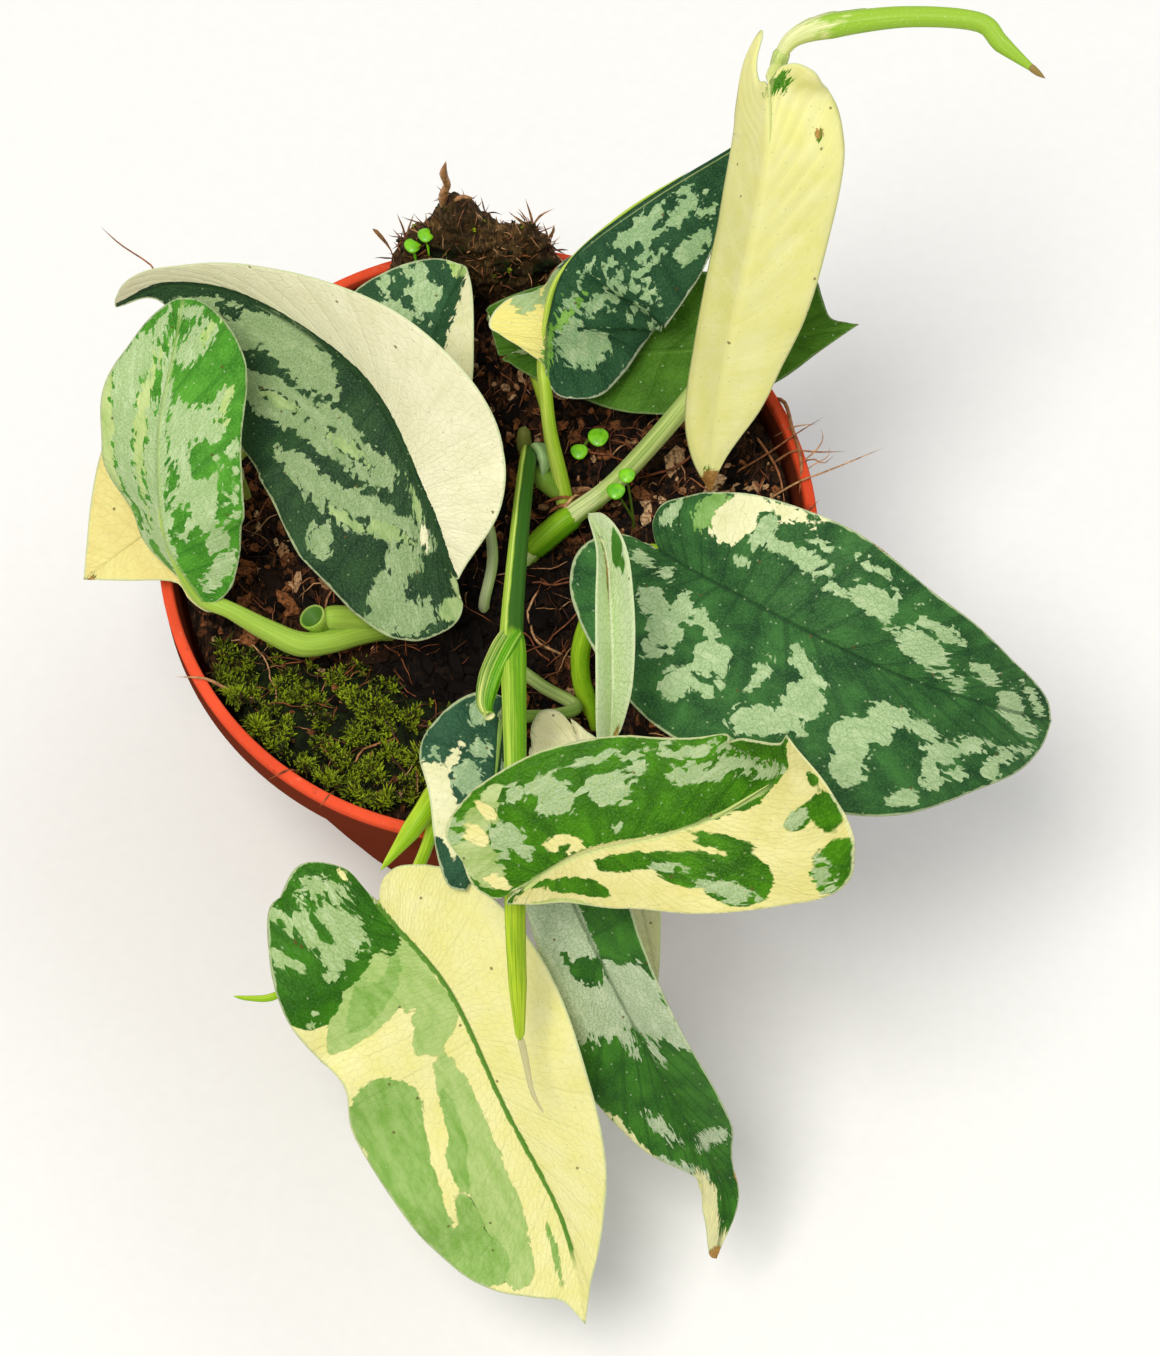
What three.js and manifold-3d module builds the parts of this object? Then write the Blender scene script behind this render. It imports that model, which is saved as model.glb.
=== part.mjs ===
// A variegated satin pothos in its thin plastic nursery pot.
// Millimetres, +Z up, the viewer's side is -Y. Origin: centre of the pot's flat underside.

import * as THREE from "three";
import { mergeVertices } from "three/addons/utils/BufferGeometryUtils.js";
import Module from "manifold-3d";

const wasm = await Module();
wasm.setup();

// ---------------------------------------------------------------- driving dimensions

// pot
const RIM_RADIUS = 75;
const POT_HEIGHT = 105;
const BASE_RADIUS = 50;
const WALL = 1.3;
const FLOOR = 2;
const LIP_HEIGHT = 11;
const LIP_FOOT = POT_HEIGHT - LIP_HEIGHT;
const LIP_WIDTH = 2.6;
const LIP_STEP = 2.2;
const LIP_EDGE = 0.6;
const DRAIN_RADIUS = 4;
const DRAIN_CIRCLE = 34;
const DRAINS = 6;
const DRAIN_SIDES = 12;
const POT_SIDES = 48;

// soil
const SOIL_LEVEL = 95.5;
const SOIL_RISE = 4;
const SOIL_RELIEF = 1.2;
const SOIL_EDGE = 92;
const SOIL_RINGS = 6;
const SOIL_SPOKES = 36;
const GAP = 0.35;
const STEM_FOOT = 86;

// root clump that stands over the back rim
const CLUMP_CENTRE = [-4, 69, 107];
const CLUMP_HALF = [19, 6.5, 21];
const CLUMP_DETAIL = 4;
const CLUMP_CLEAR = 2;

// leaves
const BLADE = 0.8;
const BLADE_ROWS = 12;
const RIB_SPREAD = 1.7;
const BLADE_COLUMNS = 3;
const STALK_SIDES = 6;
const STALK_STEPS = 2;
const SPINE_STEPS = 24;
const CURL_SPAN = 30;
const RIPPLE_SPAN = 25;

// the stalk under the midrib: how far along the blade, how thick, how deep
const UNDER_SHARES = [0, 0.12, 0.3];
const UNDER_TAPERS = [1, 0.75, 0.3];
const UNDER_DEPTH = 0.25;

// seedlings
const SEEDLING_FOOT = 91;
const SEEDLING_FORK = 100.5;
const SEEDLING_STEM = [0.5, 0.5, 0.4];
const SEEDLING_SIDES = 14;
const SEEDLING_HOLE = 1.2;
const SEEDLING_HOLE_TOP = 104;

// ---------------------------------------------------------------- solids and helpers

const vec = ([x, y, z]) => new THREE.Vector3(x, y, z);

// A geometry whose shared vertices are merged becomes a manifold solid.
function solid(geometry) {
  const bare = geometry.clone();
  bare.deleteAttribute("normal");
  bare.deleteAttribute("uv");
  const merged = mergeVertices(bare, 1e-4);
  const mesh = new wasm.Mesh({
    numProp: 3,
    vertProperties: new Float32Array(merged.attributes.position.array),
    triVerts: new Uint32Array(merged.index.array),
  });
  return new wasm.Manifold(mesh);
}

// A joined body without the loose scraps that a join can leave.
function geometryOf(body) {
  const pieces = body.decompose().sort((a, b) => b.volume() - a.volume());
  const mesh = pieces[0].getMesh();
  const geometry = new THREE.BufferGeometry();
  geometry.setAttribute("position", new THREE.Float32BufferAttribute(mesh.vertProperties, 3));
  geometry.setIndex(Array.from(mesh.triVerts));
  geometry.computeVertexNormals();
  return geometry;
}

function indexed(points, triangles) {
  const geometry = new THREE.BufferGeometry();
  const flat = points.flatMap((p) => [p.x, p.y, p.z]);
  geometry.setAttribute("position", new THREE.Float32BufferAttribute(flat, 3));
  geometry.setIndex(triangles.flat());
  geometry.computeVertexNormals();
  return geometry;
}

// A round tube whose radius changes along its route; each route point is [x, y, z, radius].
function stem(route, grow = 0) {
  const curve = new THREE.CatmullRomCurve3(route.map(vec), false, "catmullrom", 0.5);
  const spans = route.length - 1;
  const steps = spans * STALK_STEPS;
  const rings = [];
  let side = new THREE.Vector3(1, 0.1, 0.05);
  for (let i = 0; i <= steps; i++) {
    const t = i / steps;
    const tangent = curve.getTangent(t).normalize();
    side = side.clone().addScaledVector(tangent, -side.dot(tangent)).normalize();
    const other = new THREE.Vector3().crossVectors(tangent, side);
    const span = Math.min(Math.floor(t * spans), spans - 1);
    const thin = THREE.MathUtils.lerp(route[span][3], route[span + 1][3], t * spans - span);
    const radius = thin + grow;
    const centre = curve.getPoint(t);
    if (i === 0) centre.addScaledVector(tangent, -grow);
    if (i === steps) centre.addScaledVector(tangent, grow);
    const ring = [];
    for (let s = 0; s < STALK_SIDES; s++) {
      const angle = (2 * Math.PI * s) / STALK_SIDES;
      const point = centre.clone();
      point.addScaledVector(side, radius * Math.cos(angle));
      point.addScaledVector(other, radius * Math.sin(angle));
      ring.push(point);
    }
    rings.push(ring);
  }
  const points = rings.flat();
  const triangles = [];
  for (let i = 0; i < steps; i++) {
    for (let s = 0; s < STALK_SIDES; s++) {
      const next = (s + 1) % STALK_SIDES;
      const [a, b] = [i * STALK_SIDES + s, i * STALK_SIDES + next];
      const [c, d] = [a + STALK_SIDES, b + STALK_SIDES];
      triangles.push([a, b, d], [a, d, c]);
    }
  }
  const last = steps * STALK_SIDES;
  for (let s = 1; s < STALK_SIDES - 1; s++) {
    triangles.push([0, s + 1, s], [last, last + s, last + s + 1]);
  }
  return indexed(points, triangles);
}

// Values listed at equal steps from a leaf's base to its tip, eased from one to the next.
function along(values, share) {
  const spans = values.length - 1;
  if (spans === 0) return values[0];
  const place = THREE.MathUtils.clamp(share, 0, 1) * spans;
  const i = Math.min(Math.floor(place), spans - 1);
  const f = place - i;
  return THREE.MathUtils.lerp(values[i], values[i + 1], f * f * (3 - 2 * f));
}

// ---------------------------------------------------------------- leaves

// A leaf's surface. Its spine starts behind the junction with the stalk (where a = 0) and ends at
// the tip. Flat leaf coordinates are a, along the midrib, and b, across it. Each half leans from
// the midrib by its fold, in degrees, and bends by its curl, in degrees for each CURL_SPAN.
function leafSurface(leaf) {
  const spine = new THREE.CatmullRomCurve3(leaf.spine.map(vec), false, "catmullrom", 0.5);
  const spans = leaf.spine.length - 1;
  const steps = spans * SPINE_STEPS;
  const lengths = spine.getLengths(steps);
  const junction = lengths[SPINE_STEPS];
  const length = lengths[steps] - junction;

  function frame(a) {
    const wanted = a + junction;
    const inside = THREE.MathUtils.clamp(wanted, 0, lengths[steps]);
    let i = 1;
    while (i < steps && lengths[i] < inside) i++;
    const t = (i - 1 + (inside - lengths[i - 1]) / (lengths[i] - lengths[i - 1])) / steps;
    const tangent = spine.getTangent(t).normalize();
    const point = spine.getPoint(t).addScaledVector(tangent, wanted - inside);
    const share = a / length;
    const facing = [0, 1, 2].map((axis) => along(leaf.face.map((f) => f[axis]), share));
    const face = vec(facing);
    const right = new THREE.Vector3().crossVectors(tangent, face).normalize();
    const up = new THREE.Vector3().crossVectors(right, tangent);
    return { point, right, up, share };
  }

  function at(a, b, side) {
    const { point, right, up, share } = frame(a);
    const [folds, curls] = side > 0 ? [leaf.foldR, leaf.curlR] : [leaf.foldL, leaf.curlL];
    const fold = THREE.MathUtils.degToRad(along(folds, share));
    const curl = THREE.MathUtils.degToRad(along(curls, share)) / CURL_SPAN;
    const bend = curl * b;
    const straight = Math.abs(bend) < 1e-4;
    const across = straight ? b * Math.cos(fold) : (Math.sin(fold + bend) - Math.sin(fold)) / curl;
    const height = straight ? b * Math.sin(fold) : (Math.cos(fold) - Math.cos(fold + bend)) / curl;
    const swing = Math.sin((a / leaf.ripple) * 2 * Math.PI + side);
    const ripple = leaf.wave * swing * (b / RIPPLE_SPAN) ** 2;
    return point.addScaledVector(right, side * across).addScaledVector(up, height + ripple);
  }

  return { frame, at, length };
}

// One half's outline from the notch round the lobe to the tip.
function outline(points, length) {
  const flat = [[0, 0], ...points, [length, 0]].map(([a, b]) => new THREE.Vector3(a, b, 0));
  const curve = new THREE.CatmullRomCurve3(flat, false, "catmullrom", 0.5);
  return curve.getPoints(BLADE_ROWS);
}

// The blade is one thin closed shell: an upper face, the same triangles a blade's thickness
// below it, and a wall round the margin.
function blade(leaf) {
  const surface = leafSurface(leaf);
  const top = [];
  const triangles = [];
  const rib = [];
  const ribPlace = (i) => surface.length * (i / BLADE_ROWS) ** RIB_SPREAD;
  for (let i = 0; i <= BLADE_ROWS; i++) {
    rib.push(top.push(surface.at(ribPlace(i), 0, 1)) - 1);
  }
  const margins = [];
  for (const side of [1, -1]) {
    const edge = outline(side > 0 ? leaf.right : leaf.left, surface.length);
    const rows = [];
    for (let i = 0; i <= BLADE_ROWS; i++) {
      const ends = i === 0 || i === BLADE_ROWS;
      const row = [rib[i]];
      for (let j = 1; j <= BLADE_COLUMNS && !ends; j++) {
        const a = THREE.MathUtils.lerp(ribPlace(i), edge[i].x, j / BLADE_COLUMNS);
        const b = (edge[i].y * j) / BLADE_COLUMNS;
        row.push(top.push(surface.at(a, Math.max(b, 0), side)) - 1);
      }
      while (row.length <= BLADE_COLUMNS) row.push(rib[i]);
      rows.push(row);
    }
    for (let i = 0; i < BLADE_ROWS; i++) {
      for (let j = 0; j < BLADE_COLUMNS; j++) {
        const [a, b] = [rows[i][j], rows[i][j + 1]];
        const [c, d] = [rows[i + 1][j], rows[i + 1][j + 1]];
        for (const [p, q, r] of [[a, b, d], [a, d, c]]) {
          if (p === q || q === r || p === r) continue;
          triangles.push(side > 0 ? [p, q, r] : [p, r, q]);
        }
      }
    }
    margins.push(rows.map((row) => row[BLADE_COLUMNS]));
  }
  const upper = indexed(top, triangles);
  const normals = upper.attributes.normal;
  const count = top.length;
  const bottom = top.map((p, i) => {
    const normal = new THREE.Vector3().fromBufferAttribute(normals, i);
    return p.clone().addScaledVector(normal, -BLADE);
  });
  const under = triangles.map(([p, q, r]) => [p + count, r + count, q + count]);
  const wall = [];
  margins.forEach((margin, m) => {
    for (let i = 0; i < BLADE_ROWS; i++) {
      const [p, q] = m === 0 ? [margin[i + 1], margin[i]] : [margin[i], margin[i + 1]];
      wall.push([p, q, q + count], [p, q + count, p + count]);
    }
  });
  return indexed([...top, ...bottom], [...triangles, ...under, ...wall]);
}

// The stalk runs up to the junction and on under the midrib, sunk into the blade's underside.
function stalkRoute(leaf) {
  const surface = leafSurface(leaf);
  const radius = leaf.stalk.at(-1)[3];
  const under = UNDER_SHARES.map((share, i) => {
    const thin = radius * UNDER_TAPERS[i];
    const { point, up } = surface.frame(surface.length * share);
    const low = point.addScaledVector(up, -thin - UNDER_DEPTH);
    return [low.x, low.y, low.z, thin];
  });
  return [...leaf.stalk, ...under];
}

// What a leaf has unless it says otherwise. Stations along the leaf are equally spaced.
const plain = {
  foldL: [8],
  foldR: [8],
  curlL: [-10],
  curlR: [-10],
  wave: 0.6,
  ripple: 31,
  spurs: [],
};
const FACE_UP = [0, -0.4, 0.92];

const leaves = {
  left_folded: {
    ...plain,
    colour: "#8fbf5a",
    spine: [[-60, -26, 113], [-63, -23, 117], [-70, -14, 130], [-71, 4, 143], [-68, 23, 148], [-67, 38, 145]],
    face: [[-0.1, -0.4, 0.92], FACE_UP],
    left: [[-2, 2], [3, 5], [10, 7], [20, 10], [38, 15], [52, 14], [64, 10], [72, 5]],
    right: [[-3, 3], [1, 10], [10, 17], [24, 19], [40, 18], [53, 16], [64, 11], [72, 5]],
    foldL: [-95, -75, -28, -8, 0],
    foldR: [0, -4, 0],
    curlL: [-6],
    curlR: [-20, -16],
    stalk: [[-23, -21, STEM_FOOT, 2], [-23, -21, 96, 2], [-28, -23, 101, 2.2], [-36, -26, 104, 2.4],
      [-45, -27, 107, 2.3], [-56, -24, 113, 1.8]],
  },
  left_yellow: {
    ...plain,
    colour: "#e3d27f",
    spine: [[-51, 16, 116], [-58, 10, 118], [-70, 0, 116], [-82, -8, 112], [-91, -13, 107]],
    face: [[-0.1, -0.3, 0.94]],
    left: [[-5, 3], [-7, 9], [-2, 15], [10, 17], [21, 14], [31, 9], [38, 4]],
    right: [[-5, 3], [-7, 9], [-2, 15], [10, 18], [22, 17], [31, 13], [37, 7]],
    spurs: [[[-58, 10, 117.3, 0.8], [-54.5, 14, 117.5, 0.9], [-51, 17.5, 117.5, 0.3]]],
    stalk: [[-56, 13, STEM_FOOT, 1.1], [-56, 13, 96, 1.1], [-57, 13, 108, 1.1], [-57.5, 11, 115, 1.1]],
  },
  left_large: {
    ...plain,
    colour: "#3d5a41",
    spine: [[-4, -25, 117], [-8, -17, 120], [-14, -2, 127], [-27, 23, 134], [-52, 43, 134],
      [-72, 51, 128], [-86, 52, 116]],
    face: [[-0.2, -0.35, 0.92], [-0.2, -0.4, 0.9]],
    left: [[-6, 1], [-11, 5], [-12, 14], [-6, 20], [5, 27], [19, 31], [36, 32], [54, 31], [68, 28],
      [84, 21], [100, 12], [111, 4]],
    right: [[-4, 3], [-1, 8], [8, 18], [18, 25], [32, 27], [50, 23], [66, 17], [82, 11], [98, 8], [110, 5]],
    foldL: [0],
    foldR: [22, 52, 66],
    curlL: [6, 4],
    curlR: [-14, -10],
    stalk: [[-12, -6, STEM_FOOT, 1.7], [-12, -6, 96, 1.7], [-11, -9, 108, 1.7], [-9, -14, 116, 1.6]],
  },
  left_back: {
    ...plain,
    colour: "#2f5237",
    spine: [[-19, 20, 112], [-17, 25, 114], [-13, 39, 119], [-9, 51, 122], [-6, 59.5, 122.5]],
    face: [FACE_UP],
    left: [[-4, 2], [-6, 9], [0, 16], [10, 21], [20, 22], [28, 17], [36, 7]],
    right: [[-4, 2], [-6, 8], [0, 11], [10, 12], [21, 10], [29, 7], [36, 2]],
    foldL: [5],
    foldR: [20, 50],
    stalk: [[-1, -14, STEM_FOOT, 1.3], [-1, -14, 97, 1.3], [1, -6, 104, 1.3], [-1, 4, 108, 1.2],
      [-7, 14, 110.5, 1.2], [-14, 22, 112.5, 1.2]],
  },
  back_centre: {
    ...plain,
    colour: "#24482f",
    spine: [[12, 25, 123], [13, 30, 127], [14, 37, 137], [19, 47, 147], [36, 57, 156], [58, 70, 160]],
    face: [[0.3, -0.4, 0.85], [0.45, -0.5, 0.72]],
    left: [[1, 3], [5, 8], [8, 13], [12, 14], [20, 14], [34, 14], [48, 11], [62, 7], [70, 3]],
    right: [[-3, 1], [-6, 5], [-5, 12], [-1, 18], [5, 25], [15, 27], [28, 27], [43, 24], [56, 18], [67, 8]],
    foldL: [-5, -90, -128, -135, -130],
    foldR: [4],
    curlL: [0],
    stalk: [[18, 7, STEM_FOOT, 1.5], [18, 7, 96, 1.5], [16.5, 12, 106, 1.5], [14, 20, 116, 1.5],
      [13, 27, 123, 1.5]],
  },
  back_low: {
    ...plain,
    colour: "#3f7a35",
    spine: [[2, 41, 112], [9, 42, 113], [35, 39, 118], [57, 39, 122], [84, 42, 126]],
    face: [[0, -0.35, 0.94]],
    left: [[-3, 2], [-6, 4], [-3, 10], [4, 14], [16, 17], [35, 18], [52, 14], [65, 7]],
    right: [[-5, 1], [-8, 3], [-5, 7], [4, 9], [14, 12], [26, 15], [38, 15], [56, 10], [66, 5]],
    stalk: [[14, 24, STEM_FOOT, 1.4], [14, 24, 98, 1.4], [13, 31, 105, 1.4], [10, 40, 109.5, 1.4]],
  },
  high_cream: {
    ...plain,
    colour: "#e6e2a4",
    spine: [[63, 70, 189], [61, 63, 191], [61, 52, 184], [58, 39, 168], [54, 26, 150], [51, 13, 132],
      [50, 3, 119]],
    face: [[0, 0.4, -0.92]],
    left: [[-5, 4], [-18, 6], [-14, 10], [-5, 14], [6, 17], [18, 17], [32, 16], [46, 16], [60, 14],
      [72, 12], [84, 6], [91, 2]],
    right: [[-2, 4], [-9, 5], [-14, 9], [-13, 14], [-6, 19], [10, 20], [30, 19], [48, 17], [62, 13],
      [76, 9], [88, 4]],
    foldL: [66, 62, 50, 30],
    foldR: [20, 16, 10],
    curlL: [0],
    curlR: [0],
    stalk: [[62, 67.8, 190.8, 1.2], [61.5, 65.5, 190.8, 1.3]],
  },
  right_large: {
    ...plain,
    colour: "#25503a",
    spine: [[30, -4, 127], [38, -17, 131], [60, -34, 137], [87, -47, 133], [109, -50, 122], [125, -48, 108]],
    face: [[0, -0.1, 1], [0.1, -0.25, 0.97], [0.4, -0.35, 0.85]],
    left: [[-7, 4], [-9, 9], [-2, 15], [15, 21], [32, 24], [51, 22], [73, 16.5], [91, 8]],
    right: [[-7, 3], [-9, 10], [-6, 18], [2, 26], [20, 34], [40, 36], [60, 33], [80, 23], [93, 14]],
    foldL: [20, 18, 8],
    foldR: [14, 8, 4],
    curlL: [-14, -12],
    curlR: [-12, -10],
    wave: 1.2,
    stalk: [[24, -43, STEM_FOOT, 1.3], [24, -43, 96, 1.3], [19.5, -35, 104, 2.4], [20, -29, 111, 2.5],
      [26, -22, 121, 1.8], [35, -17, 128, 1.6]],
  },
  centre_narrow: {
    ...plain,
    colour: "#b9cf9a",
    spine: [[26, -70, 141], [27, -68, 145], [27.5, -58, 153], [27, -42, 158], [26, -31, 160],
      [22.5, -22, 159]],
    face: [[-0.2, -0.4, 0.9]],
    left: [[-3, 2], [2, 6], [12, 8], [28, 7], [40, 4]],
    right: [[-3, 2], [2, 7], [10, 10.5], [28, 10.5], [38, 9], [46, 5]],
    foldL: [88],
    foldR: [50],
    curlL: [0],
    curlR: [0],
    wave: 0,
    stalk: [[32, -52, STEM_FOOT, 1.2], [32, -52, 96, 1.2], [39, -62, 108, 1.2], [38, -71, 124, 1.2],
      [29, -73, 138, 1.2]],
  },
  front_top: {
    ...plain,
    colour: "#4f8b2c",
    spine: [[4, -103, 140], [9, -100, 143], [22, -95, 149], [40, -92, 153], [54, -87, 157],
      [61, -84, 164], [62, -80, 176]],
    face: [FACE_UP, [-0.3, -0.5, 0.8]],
    left: [[-6, 2], [-10, 8], [-9, 15], [-3, 21], [9, 23], [24, 22], [42, 19], [56, 14], [66, 8], [70, 3]],
    right: [[-4, 2], [-7, 8], [-2, 13], [14, 15], [30, 17], [42, 21], [52, 26], [58, 27], [61, 22],
      [63, 15], [67, 8], [70, 3]],
    foldL: [10, 5, 5],
    foldR: [-55, -20, 5, 15, 15],
    curlL: [-20, -16],
    stalk: [[9, -86, 138.4, 1.3], [10, -92, 141, 1.4], [9.5, -97, 141.8, 1.5]],
  },
  front_cream: {
    ...plain,
    colour: "#ece6b4",
    spine: [[18, -50, 116], [20, -55, 117], [25, -67, 114], [32, -82, 104], [36, -94, 92], [38, -101, 84]],
    face: [[-0.2, -0.4, 0.9]],
    left: [[-5, 1], [0, 4], [6, 8], [20, 10], [36, 8], [50, 4]],
    right: [[-5, 2], [-8, 5], [-6, 9], [3, 12], [20, 13], [38, 10], [52, 5]],
    stalk: [[20, -64, STEM_FOOT, 1.2], [20, -64, 96, 1.2], [20, -62, 106, 1.2], [20, -57, 113, 1.2]],
  },
  front_small: {
    ...plain,
    colour: "#2f5a44",
    spine: [[5, -47, 119], [3, -53, 120], [2, -66, 118], [-1, -78, 114], [-4, -88, 108]],
    face: [[-0.1, -0.4, 0.9]],
    left: [[-5, 1], [-3, 5], [4, 8], [14, 9], [26, 7], [35, 3]],
    right: [[-6, 1], [-4, 6], [0, 12], [5, 16], [12, 16], [22, 12], [32, 8], [38, 4]],
    foldL: [-70],
    stalk: [[4, -28, STEM_FOOT, 1.5], [5, -29, 96, 1.5], [13, -37, 101, 1.5], [20, -43, 104.5, 1.5],
      [15, -47, 109, 1.4], [8, -49.5, 114, 1.4], [4, -51.5, 117.5, 1.3]],
  },
  front_left: {
    ...plain,
    colour: "#dfe0a0",
    spine: [[-28, -79, 103], [-23, -89, 101], [-8, -105, 92], [4, -127, 78], [17, -149, 62], [22, -169, 50]],
    face: [FACE_UP, [0, -0.5, 0.86]],
    left: [[-5, 4], [-6, 9], [-1, 15], [8, 19], [23, 22], [40, 23], [57, 21], [72, 16], [85, 9], [96, 3]],
    right: [[-6, 1], [-12, 4], [-16, 11], [-13, 17], [-5, 24], [5, 31], [20, 32], [34, 30], [46, 33],
      [62, 31], [76, 29], [88, 25], [96, 18], [101, 8]],
    foldL: [14, 30, 20],
    foldR: [10, 4, 6],
    curlL: [-14, -20],
    curlR: [-8],
    wave: 1.2,
    spurs: [
      [[-40, -104.5, 96.5, 0.7], [-46, -108, 96, 0.9], [-51, -108.5, 96.5, 0.6], [-54.5, -108.5, 98, 0.25]],
      [[-6, -54, 105.5, 1.2], [-11, -67, 111, 2.6], [-16, -75, 110.5, 2.2], [-22.6, -83.4, 108, 0.3]],
    ],
    stalk: [[-4, -44, STEM_FOOT, 1.4], [-4, -44, 96, 1.4], [-7, -55, 106, 1.4], [-11, -68, 109.5, 1.4],
      [-15, -79, 108, 1.4], [-21, -87, 101.5, 1.4]],
  },
  front_hanging: {
    ...plain,
    colour: "#3b6b3f",
    spine: [[15, -79, 113], [16, -84, 112], [23, -98, 104], [33, -113, 88], [43, -125, 68],
      [53, -137, 46], [52, -150, 34]],
    face: [[0.1, -0.45, 0.88], [0.3, -0.6, 0.74]],
    left: [[-4, 1], [-8, 6], [-5, 12], [6, 16], [20, 14], [42, 12], [60, 12], [74, 10], [84, 7],
      [92, 4], [102, 2]],
    right: [[-4, 1], [-7, 5], [-3, 9], [8, 11], [24, 14], [42, 16], [57, 16], [70, 12], [82, 9],
      [91, 4], [102, 2]],
    foldL: [50, 52, 50, 40, 30],
    foldR: [-22, -32, -16, 0, 8],
    stalk: [[10, -55, STEM_FOOT, 1.3], [10, -55, 96, 1.3], [10, -65, 107.5, 1.3], [13, -77, 110.5, 1.3]],
  },
};

// ---------------------------------------------------------------- vines and seedlings

// The front vine leans over the rim; its dry bud sheath trails from the tip.
const frontVine = [[9, 19, STEM_FOOT, 1.8], [9, 19.5, 98, 1.8], [9, 17, 110, 1.8], [7.5, -8, 125, 2],
  [6, -36, 134.5, 2.4], [6.3, -45, 136.3, 2.8], [7, -71, 137.5, 2.3], [7, -98.5, 128, 2.2],
  [7.5, -112, 116, 1.9], [8, -121, 105, 0.9], [10, -128, 99, 0.5]];
const nodeSheath = [[6.3, -44, 136.5, 2], [3.7, -47.5, 137.5, 2.1], [1.4, -53, 136.8, 1.9],
  [0.8, -57.5, 135, 1.2], [2, -59, 134.3, 0.8]];

// The back vine leans to the right and ends in a young leaf that is still rolled.
const backVine = [[8.7, -2, STEM_FOOT, 2.4], [8.7, -2, 96, 2.4], [18.5, 5, 102, 2.5], [29.3, 12, 107, 2.2],
  [45.5, 23, 126, 2.2], [56, 33, 140, 2.1], [65, 48, 160, 2], [66, 60, 176, 1.9], [63.2, 68.5, 186, 1.8],
  [64, 72, 192, 1.8], [74, 75, 196, 2.9], [90, 76, 198, 2.4], [105, 74, 199, 2.2], [110, 69, 198, 2],
  [118, 62.6, 196, 0.4]];

// Each seedling is a pair of round leaves, [x, y, z, radius], on thread-like stems from one foot.
const seedlings = {
  seedling_centre: { foot: [24, 27], pair: [[25, 25, 103.5, 2.4], [20.6, 21.5, 103, 2]] },
  seedling_right: { foot: [33, 5], pair: [[31.4, 10, 113.5, 1.9], [28.9, 6.6, 112.5, 2.1]] },
};

// ---------------------------------------------------------------- building

const model = new THREE.Group();

function add(name, geometry, colour, roughness) {
  const material = new THREE.MeshStandardMaterial({ color: colour, roughness, metalness: 0 });
  const mesh = new THREE.Mesh(geometry, material);
  mesh.name = name;
  model.add(mesh);
}

// The outside of the tapered wall at height z.
function wallRadius(z) {
  return THREE.MathUtils.lerp(BASE_RADIUS, RIM_RADIUS - LIP_STEP, z / LIP_FOOT);
}

function pot() {
  const profile = [
    [0, 0],
    [BASE_RADIUS, 0],
    [wallRadius(LIP_FOOT), LIP_FOOT],
    [RIM_RADIUS - LIP_EDGE, LIP_FOOT],
    [RIM_RADIUS, LIP_FOOT + LIP_EDGE],
    [RIM_RADIUS, POT_HEIGHT - LIP_EDGE],
    [RIM_RADIUS - LIP_EDGE, POT_HEIGHT],
    [RIM_RADIUS - LIP_WIDTH, POT_HEIGHT],
    [wallRadius(LIP_FOOT) - WALL, LIP_FOOT],
    [BASE_RADIUS - WALL, FLOOR],
    [0, FLOOR],
  ].map(([r, z]) => new THREE.Vector2(r, z));
  const turned = new THREE.LatheGeometry(profile, POT_SIDES).rotateX(Math.PI / 2);
  let body = solid(turned);
  for (let i = 0; i < DRAINS; i++) {
    const angle = (2 * Math.PI * i) / DRAINS;
    const [x, y] = [DRAIN_CIRCLE * Math.cos(angle), DRAIN_CIRCLE * Math.sin(angle)];
    const drill = new THREE.CylinderGeometry(DRAIN_RADIUS, DRAIN_RADIUS, 3 * FLOOR, DRAIN_SIDES);
    const hole = drill.rotateX(Math.PI / 2).translate(x, y, FLOOR / 2);
    body = body.subtract(solid(hole));
  }
  return geometryOf(body);
}

// The soil rises towards the back right, with low waves 38, 46 and 19 mm long across it.
function soilHeight(x, y) {
  const waves = Math.sin(x / 6.1 + 1) * Math.cos(y / 7.3) + 0.6 * Math.sin(x / 3.7 - y / 4.9);
  const rise = SOIL_RISE * THREE.MathUtils.smoothstep(y + x / 2, 15, 60);
  return SOIL_LEVEL + rise + SOIL_RELIEF * waves;
}

// How far the clump's surface stands out in direction d, as a share of its half sizes.
function lump(d) {
  const broad = Math.sin(7 * d.x + 2 * d.z) * Math.cos(5 * d.z - 3 * d.x);
  return 1 + 0.1 * broad + 0.05 * Math.sin(15 * d.x);
}

// The root clump is a lumpy mass; inside the pot it keeps clear of the wall.
function clump(grow) {
  const round = new THREE.IcosahedronGeometry(1, CLUMP_DETAIL);
  const ball = mergeVertices(round.deleteAttribute("uv").deleteAttribute("normal"));
  const position = ball.attributes.position;
  for (let i = 0; i < position.count; i++) {
    const d = new THREE.Vector3().fromBufferAttribute(position, i);
    const half = vec(CLUMP_HALF).multiplyScalar(lump(d)).addScalar(grow);
    const p = vec(CLUMP_CENTRE).add(d.multiply(half));
    const reach = Math.hypot(p.x, p.y);
    const inside = wallRadius(Math.min(p.z, LIP_FOOT)) - WALL - 2 * GAP;
    const limit = inside + Math.max(0, p.z - POT_HEIGHT - CLUMP_CLEAR);
    if (reach > limit) {
      p.x *= limit / reach;
      p.y *= limit / reach;
    }
    position.setXYZ(i, p.x, p.y, p.z);
  }
  return ball;
}

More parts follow.
